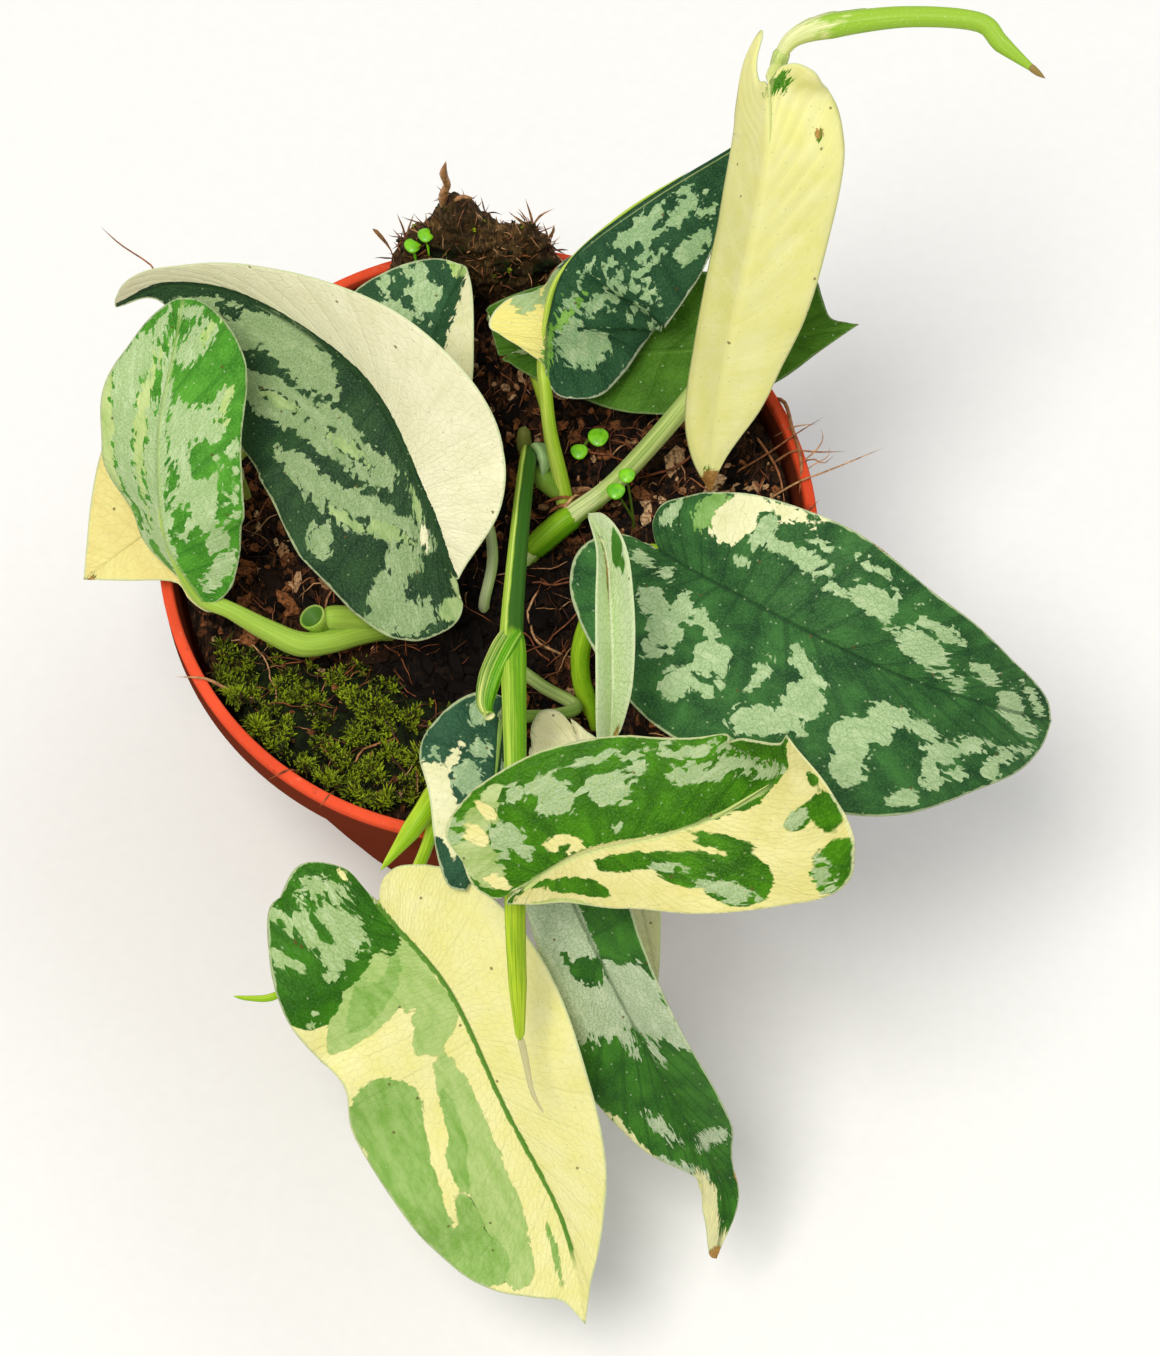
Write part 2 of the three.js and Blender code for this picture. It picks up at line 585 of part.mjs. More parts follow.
// The soil fills the pot from its floor to a waved top, less a plain hole for each stem.
function soil(stems) {
  const floor = FLOOR + GAP;
  const reach = (z) => wallRadius(z) - WALL - 3 * GAP;
  const points = [new THREE.Vector3(0, 0, soilHeight(0, 0))];
  const triangles = [];
  const ringAt = (i, s) => 1 + (i - 1) * SOIL_SPOKES + (s % SOIL_SPOKES);
  const spoke = (s) => (2 * Math.PI * s) / SOIL_SPOKES;
  for (let i = 1; i <= SOIL_RINGS; i++) {
    const r = (reach(SOIL_EDGE) * i) / SOIL_RINGS;
    for (let s = 0; s < SOIL_SPOKES; s++) {
      const [x, y] = [r * Math.cos(spoke(s)), r * Math.sin(spoke(s))];
      points.push(new THREE.Vector3(x, y, soilHeight(x, y)));
    }
  }
  for (let s = 0; s < SOIL_SPOKES; s++) {
    const [x, y] = [reach(floor) * Math.cos(spoke(s)), reach(floor) * Math.sin(spoke(s))];
    points.push(new THREE.Vector3(x, y, floor));
  }
  const bottom = points.push(new THREE.Vector3(0, 0, floor)) - 1;
  for (let s = 0; s < SOIL_SPOKES; s++) {
    triangles.push([0, ringAt(1, s), ringAt(1, s + 1)]);
    triangles.push([bottom, ringAt(SOIL_RINGS + 1, s + 1), ringAt(SOIL_RINGS + 1, s)]);
    for (let i = 1; i <= SOIL_RINGS; i++) {
      triangles.push([ringAt(i, s), ringAt(i + 1, s), ringAt(i + 1, s + 1)]);
      triangles.push([ringAt(i, s), ringAt(i + 1, s + 1), ringAt(i, s + 1)]);
    }
  }
  let body = solid(indexed(points, triangles)).subtract(solid(clump(2 * GAP)));
  for (const route of stems) body = body.subtract(solid(stem(route, GAP)));
  return geometryOf(body);
}

function seedling({ foot: [x, y], pair }) {
  const halves = pair.map(([px, py, pz, radius]) => {
    const disc = new THREE.CylinderGeometry(radius, radius, BLADE, SEEDLING_SIDES);
    const leaf = solid(disc.rotateX(Math.PI / 2).translate(px, py, pz));
    const places = [[x, y, SEEDLING_FOOT], [x, y, SEEDLING_FORK], [px, py, pz]];
    const route = places.map((place, i) => [...place, SEEDLING_STEM[i]]);
    return leaf.add(solid(stem(route)));
  });
  return geometryOf(halves[0].add(halves[1]));
}

function seedlingHole({ foot: [x, y] }) {
  const levels = [SEEDLING_FOOT - 2 * GAP, SOIL_LEVEL, SEEDLING_HOLE_TOP];
  return levels.map((z) => [x, y, z, SEEDLING_HOLE]);
}

// Only the leaves whose stalk starts in the soil need a hole; the others grow from a vine.
const rooted = Object.values(leaves).filter((leaf) => leaf.stalk[0][2] === STEM_FOOT);
const stems = [
  ...rooted.map((leaf) => leaf.stalk),
  frontVine,
  backVine.slice(0, 5),
  ...Object.values(seedlings).map(seedlingHole),
];

add("pot", pot(), "#c8503a", 0.45);
add("soil", soil(stems), "#3a2a20", 0.95);
add("root_clump", clump(0), "#5a4630", 0.95);
for (const [name, leaf] of Object.entries(leaves)) {
  let body = solid(blade(leaf)).add(solid(stem(stalkRoute(leaf))));
  for (const spur of leaf.spurs) body = body.add(solid(stem(spur)));
  add(name, geometryOf(body), leaf.colour, 0.45);
}
add("front_vine", geometryOf(solid(stem(frontVine)).add(solid(stem(nodeSheath)))), "#8ec53a", 0.5);
add("back_vine", stem(backVine), "#9cb95a", 0.5);
for (const [name, plant] of Object.entries(seedlings)) {
  add(name, seedling(plant), "#5fd400", 0.4);
}

export default model;
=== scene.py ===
# %% [markdown]
# # A variegated satin pothos in its nursery pot
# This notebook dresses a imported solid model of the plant. The solids give the size and the place of every
# leaf, stem and pot wall; here each one gets a finer surface, its thickness, its veins and its colours.
# Lengths are written in millimetres, because that is how leaves are measured, and turned to metres once.

# %% Load the solid model
import math

import bmesh
import bpy
import numpy as np
from mathutils import Euler, Matrix, Vector, noise


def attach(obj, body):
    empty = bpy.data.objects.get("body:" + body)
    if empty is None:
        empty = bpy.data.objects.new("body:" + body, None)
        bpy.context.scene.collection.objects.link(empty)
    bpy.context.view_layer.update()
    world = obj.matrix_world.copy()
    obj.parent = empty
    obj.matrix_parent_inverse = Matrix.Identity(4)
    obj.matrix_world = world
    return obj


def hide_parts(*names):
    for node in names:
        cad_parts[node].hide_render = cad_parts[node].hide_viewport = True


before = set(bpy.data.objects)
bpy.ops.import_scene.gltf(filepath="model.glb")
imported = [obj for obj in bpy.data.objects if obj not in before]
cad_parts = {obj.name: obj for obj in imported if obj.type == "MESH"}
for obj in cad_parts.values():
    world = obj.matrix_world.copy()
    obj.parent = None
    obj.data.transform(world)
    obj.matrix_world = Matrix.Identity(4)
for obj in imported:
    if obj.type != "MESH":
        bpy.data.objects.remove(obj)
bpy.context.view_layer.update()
MM = 0.001
UP = Vector((0, 0, 1))
print("solid nodes:", len(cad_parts))

# %% [markdown]
# ## Colours and materials
# Paint shops and plant books give colours as sRGB hex values, but light adds up in linear values, so one
# function turns hex into linear. A material is a small graph of nodes: one helper adds a node, sets it and
# wires it. Nearly every finish here is then a ground colour with other colours laid over it in turn, so
# each finish is written as a list of covers.

# %% Helpers for colours and nodes
MIX = {"data_type": "RGBA"}
SUM = {"operation": "ADD"}
PRODUCT = {"operation": "MULTIPLY"}
SCALED_SUM = {"operation": "MULTIPLY_ADD"}


def colour(hex_value):
    """An sRGB hex value as linear red, green, blue and alpha."""
    parts = [int(hex_value[i : i + 2], 16) / 255 for i in (1, 3, 5)]
    linear = [p / 12.92 if p <= 0.04045 else ((p + 0.055) / 1.055) ** 2.4 for p in parts]
    return (*linear, 1.0)


def live(sockets, key):
    """The socket with this name or number that is switched on; a Mix node has several of one name."""
    if isinstance(key, int):
        return [s for s in sockets if s.enabled][key]
    return next(s for s in sockets if s.enabled and s.name == key)


def add_node(tree, kind, settings=None, inputs=None):
    """Adds a node. An input is a number, a hex colour, or a node or socket that is wired in."""
    node = tree.nodes.new("ShaderNode" + kind)
    for key, value in (settings or {}).items():
        setattr(node, key, value)
    for key, value in (inputs or {}).items():
        socket = live(node.inputs, key)
        if isinstance(value, bpy.types.Node):
            tree.links.new(live(value.outputs, 0), socket)
        elif isinstance(value, bpy.types.NodeSocket):
            tree.links.new(value, socket)
        else:
            socket.default_value = colour(value) if isinstance(value, str) else value
    return node


def new_material(name, roughness, **sockets):
    """A material with one Principled shader. Sockets that are the same all over are set here."""
    material = bpy.data.materials.new(name)
    material.use_nodes = True
    tree = material.node_tree
    shader = tree.nodes["Principled BSDF"]
    shader.inputs["Roughness"].default_value = roughness
    for key, value in sockets.items():
        shader.inputs[key.replace("_", " ")].default_value = value
    return material, tree, shader


def blotches(tree, place, sizes, detail=4.0):
    """Soft irregular blotches, 0 to 1, whose sizes are in the units of the coordinates."""
    scale = [1 / s for s in sizes]
    spread = add_node(tree, "Mapping", None, {"Vector": place, "Scale": scale})
    inputs = {"Vector": spread, "Scale": 1.0, "Detail": detail, "Roughness": 0.6}
    return add_node(tree, "TexNoise", None, inputs)


def lay_over(tree, skin, covers):
    """Lays covers over a colour or skin in turn. A cover is what it reads, the two readings between
    which it comes or goes, its strength at each of the two, and the colour or skin that it brings."""
    for reading, low, high, at_low, at_high, cover in covers:
        share = add_node(tree, "MapRange", None, {0: reading, 1: low, 2: high, 3: at_low, 4: at_high})
        skin = add_node(tree, "Mix", MIX, {"Factor": share, "A": skin, "B": cover})
    return skin


def finish_surface(tree, shader, base_colour, height, depth_mm, strength=1.0):
    """Wires a colour into the shader, and a height in the form of small relief."""
    tree.links.new(live(base_colour.outputs, 0), shader.inputs["Base Color"])
    inputs = {"Height": height, "Distance": depth_mm * MM, "Strength": strength}
    relief = add_node(tree, "Bump", None, inputs)
    tree.links.new(relief.outputs[0], shader.inputs["Normal"])


print("cream, linear:", [round(c, 3) for c in colour("#f3efc9")])

# %% [markdown]
# ## Objects and meshes
# What stands in a scene is an object, and its shape is a mesh that it carries. A bmesh is the workshop in
# which a mesh is shaped; ending it frees the memory that it took.

# %% Objects and meshes
def new_object(name, data):
    made = bpy.data.objects.new(name, data)
    bpy.context.scene.collection.objects.link(made)
    return made


def mesh_data(name, mesh):
    """Ends a bmesh and returns its mesh."""
    data = bpy.data.meshes.new(name)
    mesh.to_mesh(data)
    mesh.free()
    return data


# %% [markdown]
# ## Camera, floor and light
# The plant is seen from in front and well above. Plants are photographed in soft daylight, so a large lamp
# stands high on the left, a weaker one fills from the right, and a bright room gives the rest. The floor is
# a plain pale sheet at the pot's underside.

# %% Camera
ELEVATION = 66.28
TARGET = Vector((20.8, -36.3, 105)) * MM
CAMERA_DISTANCE = 800 * MM
SENSOR = 36.0
FOCAL_PIXELS = 3587
FRAME_WIDTH, FRAME_HEIGHT = 1160, 1356

camera_data = bpy.data.cameras.new("camera")
camera_data.sensor_width = SENSOR
camera_data.lens = FOCAL_PIXELS * SENSOR / max(FRAME_WIDTH, FRAME_HEIGHT)
camera = new_object("camera", camera_data)
tilt = math.radians(90 - ELEVATION)
camera.rotation_euler = (tilt, 0, 0)
camera.location = TARGET + Vector((0, -math.sin(tilt), math.cos(tilt))) * CAMERA_DISTANCE
bpy.context.scene.camera = camera
print("lens in mm:", round(camera_data.lens, 2))


# %% Floor and lights
FLOOR_HALF = 4
LAMPS_AIM = Vector((0, -0.02, 0.1))


def floor_sheet():
    mesh = bmesh.new()
    bmesh.ops.create_grid(mesh, x_segments=1, y_segments=1, size=FLOOR_HALF)
    floor = new_object("floor", mesh_data("floor", mesh))
    material, tree, shader = new_material("pale studio paper", 0.9)
    place = add_node(tree, "TexCoord").outputs["Object"]
    fibre = blotches(tree, place, (0.004, 0.004, 0.004))
    paper = lay_over(tree, "#f4f4f2", [(fibre, 0, 1, 0, 1, "#fafaf8")])
    tree.links.new(live(paper.outputs, 0), shader.inputs["Base Color"])
    floor.data.materials.append(material)


def soft_lamp(name, place, size, watts, tint):
    data = bpy.data.lights.new(name, "AREA")
    data.shape = "DISK"
    data.size = size
    data.energy = watts
    data.color = colour(tint)[:3]
    lamp = new_object(name, data)
    lamp.location = place
    lamp.rotation_euler = (Vector(place) - LAMPS_AIM).to_track_quat("Z", "Y").to_euler()


floor_sheet()
soft_lamp("daylight", (-0.3, -0.4, 1.5), 0.6, 14.5, "#fffbf4")
soft_lamp("fill", (0.7, 0.5, 1.2), 1.0, 4, "#f4f8ff")
room = bpy.data.worlds.new("bright room")
room.use_nodes = True
room.node_tree.nodes["Background"].inputs["Color"].default_value = colour("#fbfbfa")
room.node_tree.nodes["Background"].inputs["Strength"].default_value = 0.5
bpy.context.scene.world = room
bpy.context.scene.view_settings.view_transform = "Standard"

# %% [markdown]
# ## How a leaf is described
# A pothos blade is a flat heart that is folded along its midrib, leans and curls on each side, and ripples
# at its margin. So a leaf is described flat first: *a* runs along the midrib from the stalk's junction, *b*
# runs across it. A spine curve in space carries the midrib, a list of directions says which way the blade
# faces, and folds and curls, in degrees, say how each half leans and bends.

# %% Curves and eased values
CURL_SPAN = 30
RIPPLE_SPAN = 25
RIB_SPREAD = 1.7
SPINE_STEPS = 24


def smooth_curve(points, shares):
    """Places and tangents on a curve through the points; shares run from 0 to 1."""
    points = np.array(points, float)
    spans = len(points) - 1
    fence = np.vstack([2 * points[0] - points[1], points, 2 * points[-1] - points[-2]])
    place = np.clip(np.atleast_1d(shares), 0, 1) * spans
    i = np.minimum(place.astype(int), spans - 1)
    f = (place - i)[:, None]
    before, start, end, after = fence[i], fence[i + 1], fence[i + 2], fence[i + 3]
    bend = 2 * before - 5 * start + 4 * end - after
    twist = 3 * start - before - 3 * end + after
    spot = start + 0.5 * ((end - before) * f + bend * f**2 + twist * f**3)
    tangent = 0.5 * ((end - before) + 2 * bend * f + 3 * twist * f**2)
    return spot, tangent


def along(stations, shares):
    """Values at equal steps from a leaf's base to its tip, eased from one to the next."""
    stations = np.array(stations, float)
    if len(stations) == 1:
        return np.repeat(stations, len(shares), axis=0)
    place = np.clip(shares, 0, 1) * (len(stations) - 1)
    i = np.minimum(place.astype(int), len(stations) - 2)
    f = (place - i).reshape(-1, *[1] * (stations.ndim - 1))
    f = f * f * (3 - 2 * f)
    return stations[i] * (1 - f) + stations[i + 1] * f


def unit(vectors):
    return vectors / np.linalg.norm(vectors, axis=1, keepdims=True)


# %% A leaf's surface
TINY = 1e-6
PLAIN_LEAF = dict(fold_left=[8], fold_right=[8], curl_left=[-10], curl_right=[-10], wave=0.6, ripple=31,
    spurs=[])


class LeafSurface:
    """Turns flat leaf places into places in space. All lengths are in millimetres."""

    def __init__(self, leaf):
        self.leaf = leaf
        steps = (len(leaf["spine"]) - 1) * SPINE_STEPS
        self.shares = np.linspace(0, 1, steps + 1)
        spots, _ = smooth_curve(leaf["spine"], self.shares)
        gaps = np.linalg.norm(np.diff(spots, axis=0), axis=1)
        self.lengths = np.concatenate([[0], np.cumsum(gaps)])
        self.junction = self.lengths[SPINE_STEPS]
        self.length = self.lengths[-1] - self.junction

    def frame(self, a):
        wanted = a + self.junction
        inside = np.clip(wanted, 0, self.lengths[-1])
        share = np.interp(inside, self.lengths, self.shares)
        spot, tangent = smooth_curve(self.leaf["spine"], share)
        tangent = unit(tangent)
        spot = spot + tangent * (wanted - inside)[:, None]
        facing = along(self.leaf["face"], a / self.length)
        right = unit(np.cross(tangent, facing))
        return spot, right, np.cross(right, tangent)

    def at(self, a, b, side):
        """side is +1 to the right of the midrib and -1 to its left; b is never negative."""
        spot, right, up = self.frame(a)
        share = a / self.length
        which = "right" if side > 0 else "left"
        fold = np.radians(along(self.leaf["fold_" + which], share))
        curl = np.radians(along(self.leaf["curl_" + which], share)) / CURL_SPAN
        curl = np.where(np.abs(curl) < TINY, TINY, curl)
        lean = fold + curl * b
        across = (np.sin(lean) - np.sin(fold)) / curl
        height = (np.cos(fold) - np.cos(lean)) / curl
        swing = np.sin(a / self.leaf["ripple"] * 2 * np.pi + side)
        height = height + self.leaf["wave"] * swing * (b / RIPPLE_SPAN) ** 2
        return spot + right * (side * across)[:, None] + up * height[:, None]

    def margin(self, side, shares):
        """The outline of one half, from the notch round the lobe to the tip."""
        points = self.leaf["right" if side > 0 else "left"]
        spots, _ = smooth_curve([[0, 0], *points, [self.length, 0]], shares)
        return spots


# %% [markdown]
# ## The fourteen leaves
# Each leaf starts from its solid's dimensions, with finer outlines: the spine, the way it faces, the two
# half outlines, the folds, and the stalk with its radii. The stalks start in the mix, and those of front_top
# and high_cream inside a vine. A spur is a small extra stem on the leaf, such as a sheath's wing.

# %% Leaf dimensions
LEAVES = {
    "left_folded": dict(
        spine=[[-60, -26, 113], [-63, -23, 117], [-70, -14, 130], [-71, 4, 143], [-68, 23, 148],
            [-67, 38, 145]],
        face=[[-0.1, -0.4, 0.92], [0, -0.4, 0.92]],
        left=[[-2, 2], [3, 6], [10, 10], [19, 14], [28, 16], [38, 15.6], [48, 15], [58, 11.5], [68, 7],
            [74, 2.5]],
        right=[[-2, 3], [0, 8], [7, 14.5], [20, 18], [40, 18], [56, 17], [64, 13.5], [71.5, 8], [75, 3.5]],
        fold_left=[-72, -54, -26, -8, 0],
        fold_right=[0, -4, 0],
        curl_left=[-6],
        curl_right=[-20, -16],
        stalk=[[-23, -21, 86, 2], [-23, -21, 96, 2.2], [-28, -23.4, 101, 2.6], [-36, -27, 104, 2.8],
            [-42, -28.4, 106, 2.9], [-49, -26.4, 109, 2.5], [-57, -23.6, 113.6, 1.9]],
    ),
    "left_yellow": dict(
        spine=[[-51, 16, 116], [-58, 10, 118], [-70, 0, 116], [-82, -8, 112], [-91, -13, 107]],
        face=[[-0.1, -0.3, 0.94]],
        left=[[-2, 1], [-1, 4], [5, 8.5], [12, 14], [18, 22.5], [22.5, 24], [24.6, 19], [25, 13.5], [33, 7],
            [39, 2.4]],
        right=[[-4, 3], [-6, 9], [-2, 15], [10, 20], [19, 21.5], [22.5, 20], [27, 16], [33, 9.8],
            [39, 3.4]],
        spurs=[[[-58, 10, 117.3, 0.8], [-54.5, 14, 117.5, 0.9], [-51, 17.5, 117.5, 0.3]]],
        stalk=[[-56, 13, 86, 1.1], [-56, 13, 96, 1.1], [-57, 13, 108, 1.1], [-57.5, 11, 115, 1.1]],
    ),
    "left_large": dict(
        spine=[[-4, -25, 117], [-8, -17, 120], [-14, -2, 127], [-27, 23, 134], [-52, 43, 134],
            [-72, 51, 128], [-86, 52, 116]],
        face=[[-0.2, -0.35, 0.92], [-0.2, -0.4, 0.9]],
        left=[[-5, 0.3], [-8, 0.6], [-10.6, 3], [-11.6, 7], [-10.6, 14], [-5, 20], [5, 27], [19, 31],
            [36, 32], [54, 31], [68, 28],
            [82, 21], [94, 12.5], [103, 5], [110, 1.4]],
        right=[[-2.4, 0.8], [-1.2, 3], [3, 9], [10, 18], [19, 24.4], [32, 27], [50, 23], [66, 17],
            [82, 11], [96, 7],
            [109, 6], [115, 3.8], [118.5, 1.8]],
        fold_left=[0],
        fold_right=[22, 52, 66],
        curl_left=[6, 4],
        curl_right=[-14, -10],
        stalk=[[-12, -6, 86, 1.7], [-12, -6, 96, 1.7], [-11, -9, 108, 1.7], [-9, -14, 116, 1.6]],
    ),
    "left_back": dict(
        spine=[[-19, 20, 112], [-17, 25, 114], [-13, 39, 119], [-9, 51, 122], [-6, 59.5, 122.5]],
        face=[[0, -0.4, 0.92]],
        left=[[-4, 2], [-6, 9], [0, 16], [10, 21], [20, 22], [28, 17], [36, 7]],
        right=[[-4, 2], [-6, 8], [0, 11], [10, 12], [21, 10], [29, 7], [36, 2]],
        fold_left=[5],
        fold_right=[20, 50],
        stalk=[[-1, -14, 86, 1.3], [-1, -14, 97, 1.3], [1, -6, 104, 1.3], [-1, 4, 108, 1.2],
            [-7, 14, 110.5, 1.2], [-14, 22, 112.5, 1.2]],
    ),
    "back_centre": dict(
        spine=[[12, 25, 123], [13, 30, 127], [14, 37, 137], [19, 47, 147], [36, 57, 156], [58, 70, 160]],
        face=[[0.3, -0.4, 0.85], [0.45, -0.5, 0.72]],
        left=[[1.6, 1], [5, 5.6], [6.8, 10.4], [8, 14], [12.2, 13.5], [16, 9.8], [19.8, 7], [26, 7],
            [36, 8.5],
            [48, 8.5], [62, 6], [70, 3]],
        right=[[-3, 1], [-6, 5], [-5, 12], [-1, 18], [5, 25], [15, 27], [28, 27], [43, 24], [56, 18],
            [67, 8]],
        fold_left=[-5, -90, -128, -135, -130],
        fold_right=[4],
        curl_left=[0],
        stalk=[[18, 7, 86, 2.0], [18, 7, 96, 2.2], [16.5, 12, 106, 1.9], [14, 20, 116, 1.6],
            [13, 27, 123, 1.5]],
    ),
    "back_low": dict(
        spine=[[2, 41, 112], [9, 42, 113], [35, 39, 118], [57, 39, 122], [84, 42, 126]],
        face=[[0, -0.35, 0.94]],
        left=[[-6.4, 0.3], [-7.2, 2], [-7.4, 4.6], [-7.4, 8], [-5, 12], [4, 15.5], [16, 17], [35, 18],
            [52, 16],
            [64, 13.6], [68.4, 12.4], [69.4, 7], [70.4, 2.6], [74, 0.8]],
        right=[[-6.2, 0.3], [-5, 2.2], [-2, 4.4], [2, 6.4], [8, 9], [14, 11], [20, 13], [27, 14.2],
            [40, 14.6],
            [56, 10], [66, 5], [73, 1.6]],
        stalk=[[14, 24, 86, 1.4], [14, 24, 98, 1.4], [13, 31, 105, 1.4], [10, 40, 109.5, 1.4]],
    ),
    "high_cream": dict(
        spine=[[64, 67, 199], [61, 63, 191], [61, 52, 184], [58, 39, 168], [54, 26, 150],
            [51, 13, 132], [50, 3, 119]],
        face=[[0, 0.4, -0.92]],
        left=[[-0.4, 2.4], [0, 5], [-1.4, 9], [-3.4, 13], [-3.6, 15.6], [-1.4, 15], [1.4, 14.4],
            [5.2, 15.8],
            [16, 17], [32, 16.6], [43, 15], [56, 12.2], [70, 11], [81, 8.6], [89, 5], [93, 2]],
        right=[[-3, 0.3], [-5.4, 1], [-7, 2.8], [-7.4, 5], [-6.6, 8.6], [-3.6, 11.4], [-0.6, 13.4],
            [4.4, 15.8],
            [9.4, 16.8], [16, 17.4], [30, 17], [51, 15.6], [64, 12.5], [75, 9.2], [87.6, 2.6]],
        fold_left=[66, 62, 50, 30],
        fold_right=[20, 16, 10],
        curl_left=[0],
        curl_right=[0],
        rib=0.2,
        stalk=[[63.4, 69.6, 188.4, 1.2], [62.2, 67.8, 190.4, 1.2], [61.5, 65.5, 190.8, 1.3]],
    ),
    "right_large": dict(
        spine=[[30, -4, 127], [38, -17, 131], [60, -34, 137], [87, -47, 133], [109, -50, 122],
            [125, -48, 108]],
        face=[[0, -0.1, 1], [0.1, -0.25, 0.97], [0.4, -0.35, 0.85]],
        left=[[-7, 4], [-9, 9], [-2, 15], [15, 21], [32, 24], [51, 22], [73, 16.5],
            [88, 11], [96, 8], [102.4, 4.4]],
        right=[[-7, 3], [-9, 10], [-6, 18], [2, 26], [20, 34], [40, 36], [60, 33], [78, 23.5], [88, 17],
            [95.5, 12.6], [100, 9.2], [103.6, 5]],
        fold_left=[20, 18, 8],
        fold_right=[14, 8, 4],
        curl_left=[-14, -12],
        curl_right=[-12, -10],
        wave=1.2,
        stalk=[[24, -43, 86, 1.3], [24, -43, 96, 1.3], [21, -35, 104, 2.1], [21.6, -29, 111, 2.2],
            [26, -22, 121, 1.8], [35, -17, 128, 1.6]],
    ),
    "centre_narrow": dict(
        spine=[[26, -70, 141], [27, -68, 145], [27.5, -58, 153], [27, -42, 158], [26, -31, 160],
            [22.5, -22, 159]],
        face=[[-0.2, -0.4, 0.9]],
        left=[[-3, 2], [2, 6], [12, 8], [28, 7], [40, 4]],
        right=[[0, 0.8], [3, 3.6], [7.2, 5.8], [12.6, 8.2], [20, 9.6], [28, 9.8], [38, 8.6], [46, 5]],
        fold_left=[78],
        fold_right=[50],
        curl_left=[0],
        curl_right=[0],
        wave=0,
        stalk=[[32, -52, 86, 1.2], [32, -52, 96, 1.2], [39, -62, 108, 1.2], [38, -71, 124, 1.2],
            [29, -73, 138, 1.2]],
    ),
    "front_top": dict(
        spine=[[4, -103, 140], [9, -100, 143], [22, -95, 149], [40, -92, 153], [54, -87, 157],
            [61, -84, 164], [62, -80, 176]],
        face=[[0, -0.4, 0.92], [-0.3, -0.5, 0.8]],
        left=[[-6, 1.4], [-8, 7], [-6, 13], [-4, 19], [0, 22], [6, 22.8], [17, 23], [33, 21], [48, 16],
            [57, 13.5], [64, 12], [67.6, 9.6], [68.6, 5.4], [69, 2.6], [70, 0.8]],
        right=[[-5, 0.8], [-4.4, 2.4], [-1.8, 5], [4, 8.6], [11.8, 12.4], [27.3, 15.1], [37.5, 18.8],
            [50.3, 23.5], [56.9, 25.6], [59.8, 22.5], [62, 17], [64, 12], [69, 4.4]],
        fold_left=[10, 5, 5],
        fold_right=[-34, -14, 5, 15, 15],
        curl_left=[-20, -16],
        stalk=[[7.4, -83.6, 134.6, 1.3], [8.4, -85.6, 137.8, 1.3], [10, -92, 141, 1.4],
            [9.5, -97, 141.8, 1.5]],
    ),
    "front_cream": dict(
        spine=[[18, -50, 116], [20, -55, 117], [25, -67, 114], [32, -82, 104], [36, -94, 92],
            [38, -101, 84]],
        face=[[-0.2, -0.4, 0.9]],
        left=[[-4, 0.2], [-3.4, 0.7], [0, 2.2], [3, 4], [10, 7], [20, 8.4], [34, 6.6], [43, 4.2],
            [54, 1.8]],
        right=[[-4, 0.3], [-7.6, 1.4], [-9.6, 4], [-9, 6.6], [-6, 9], [3, 12], [20, 13], [38, 10], [52, 5]],
        stalk=[[20, -64, 86, 1.2], [20, -64, 96, 1.2], [20, -62, 106, 1.2], [20, -57, 113, 1.2]],
    ),
    "front_small": dict(
        spine=[[5, -47, 119], [3, -53, 120], [2, -66, 118], [-1, -78, 114], [-4, -88, 108]],
        face=[[-0.1, -0.4, 0.9]],
        left=[[-5, 1], [-3, 5], [4, 8], [14, 9], [26, 7], [35, 3]],
        right=[[-6, 1], [-4, 6], [0, 12], [5, 16], [12, 16], [22, 12], [32, 8], [38, 4]],
        fold_left=[-70],
        stalk=[[4, -28, 86, 1.5], [5, -29, 96, 1.5], [13, -37, 101, 1.5], [20, -43, 104.5, 1.5],
            [15, -47, 109, 1.4], [8, -49.5, 114, 1.4], [4, -51.5, 117.5, 1.3]],
    ),
    "front_left": dict(
        spine=[[-28, -79, 103], [-23, -89, 101], [-8, -105, 92], [4, -127, 78], [17, -149, 62],
            [22, -169, 50]],
        face=[[0, -0.4, 0.92], [0, -0.5, 0.86]],
        left=[[-5, 4], [-6, 9], [-1, 15], [8, 19], [23, 22], [40, 23], [57, 21], [72, 16], [85, 9],
            [96, 3.5], [101, 1.8]],
        right=[[-6, 1], [-12, 4], [-16, 11], [-13, 17], [-5, 24], [5, 31], [20, 32], [34, 30],
            [46, 33], [62, 31], [76, 29], [88, 25], [95, 18.5], [98.5, 10], [100.5, 4]],
        fold_left=[14, 30, 20],
        fold_right=[10, 4, 6],
        curl_left=[-14, -20],
        curl_right=[-8],
        wave=1.2,
        spurs=[
            [[-40, -104.5, 96.5, 0.7], [-46, -108, 96, 0.9], [-51, -108.5, 96.5, 0.6],
            [-54.5, -108.5, 98, 0.25]],
            [[-6, -54, 105.5, 1.2], [-11, -67, 111, 2.6], [-16, -75, 110.5, 2.2],
            [-22.6, -83.4, 108, 0.3]]],
        stalk=[[-4, -44, 86, 1.4], [-4, -44, 96, 1.4], [-7, -55, 106, 1.4], [-10, -68, 108.6, 1.4],
            [-13, -77, 104, 1.4], [-17, -83.6, 99.5, 1.3], [-22, -88.6, 98.6, 1.2]],
    ),
    "front_hanging": dict(
        spine=[[15, -79, 113], [16, -84, 112], [23, -98, 104], [33, -113, 88], [43, -125, 68],
            [53, -137, 46], [52, -150, 34]],
        face=[[0.1, -0.45, 0.88], [0.3, -0.6, 0.74]],
        left=[[-4, 1], [-8, 6], [-5, 12], [6, 16], [20, 14], [42, 12], [60, 12], [74, 10], [82, 6.6],
            [88, 4.6], [96, 3.7], [104, 1.9], [110, 0.5]],
        right=[[-4, 1], [-7, 5], [-3, 9], [8, 11], [24, 14], [42, 16], [57, 16], [70, 12.4], [77, 9.6],
            [84, 6], [89, 4.2], [94, 4.8], [99, 5.2], [106, 3.4], [111, 1.8]],
        fold_left=[50, 52, 50, 40, 30],
        fold_right=[-22, -32, -16, 0, 8],
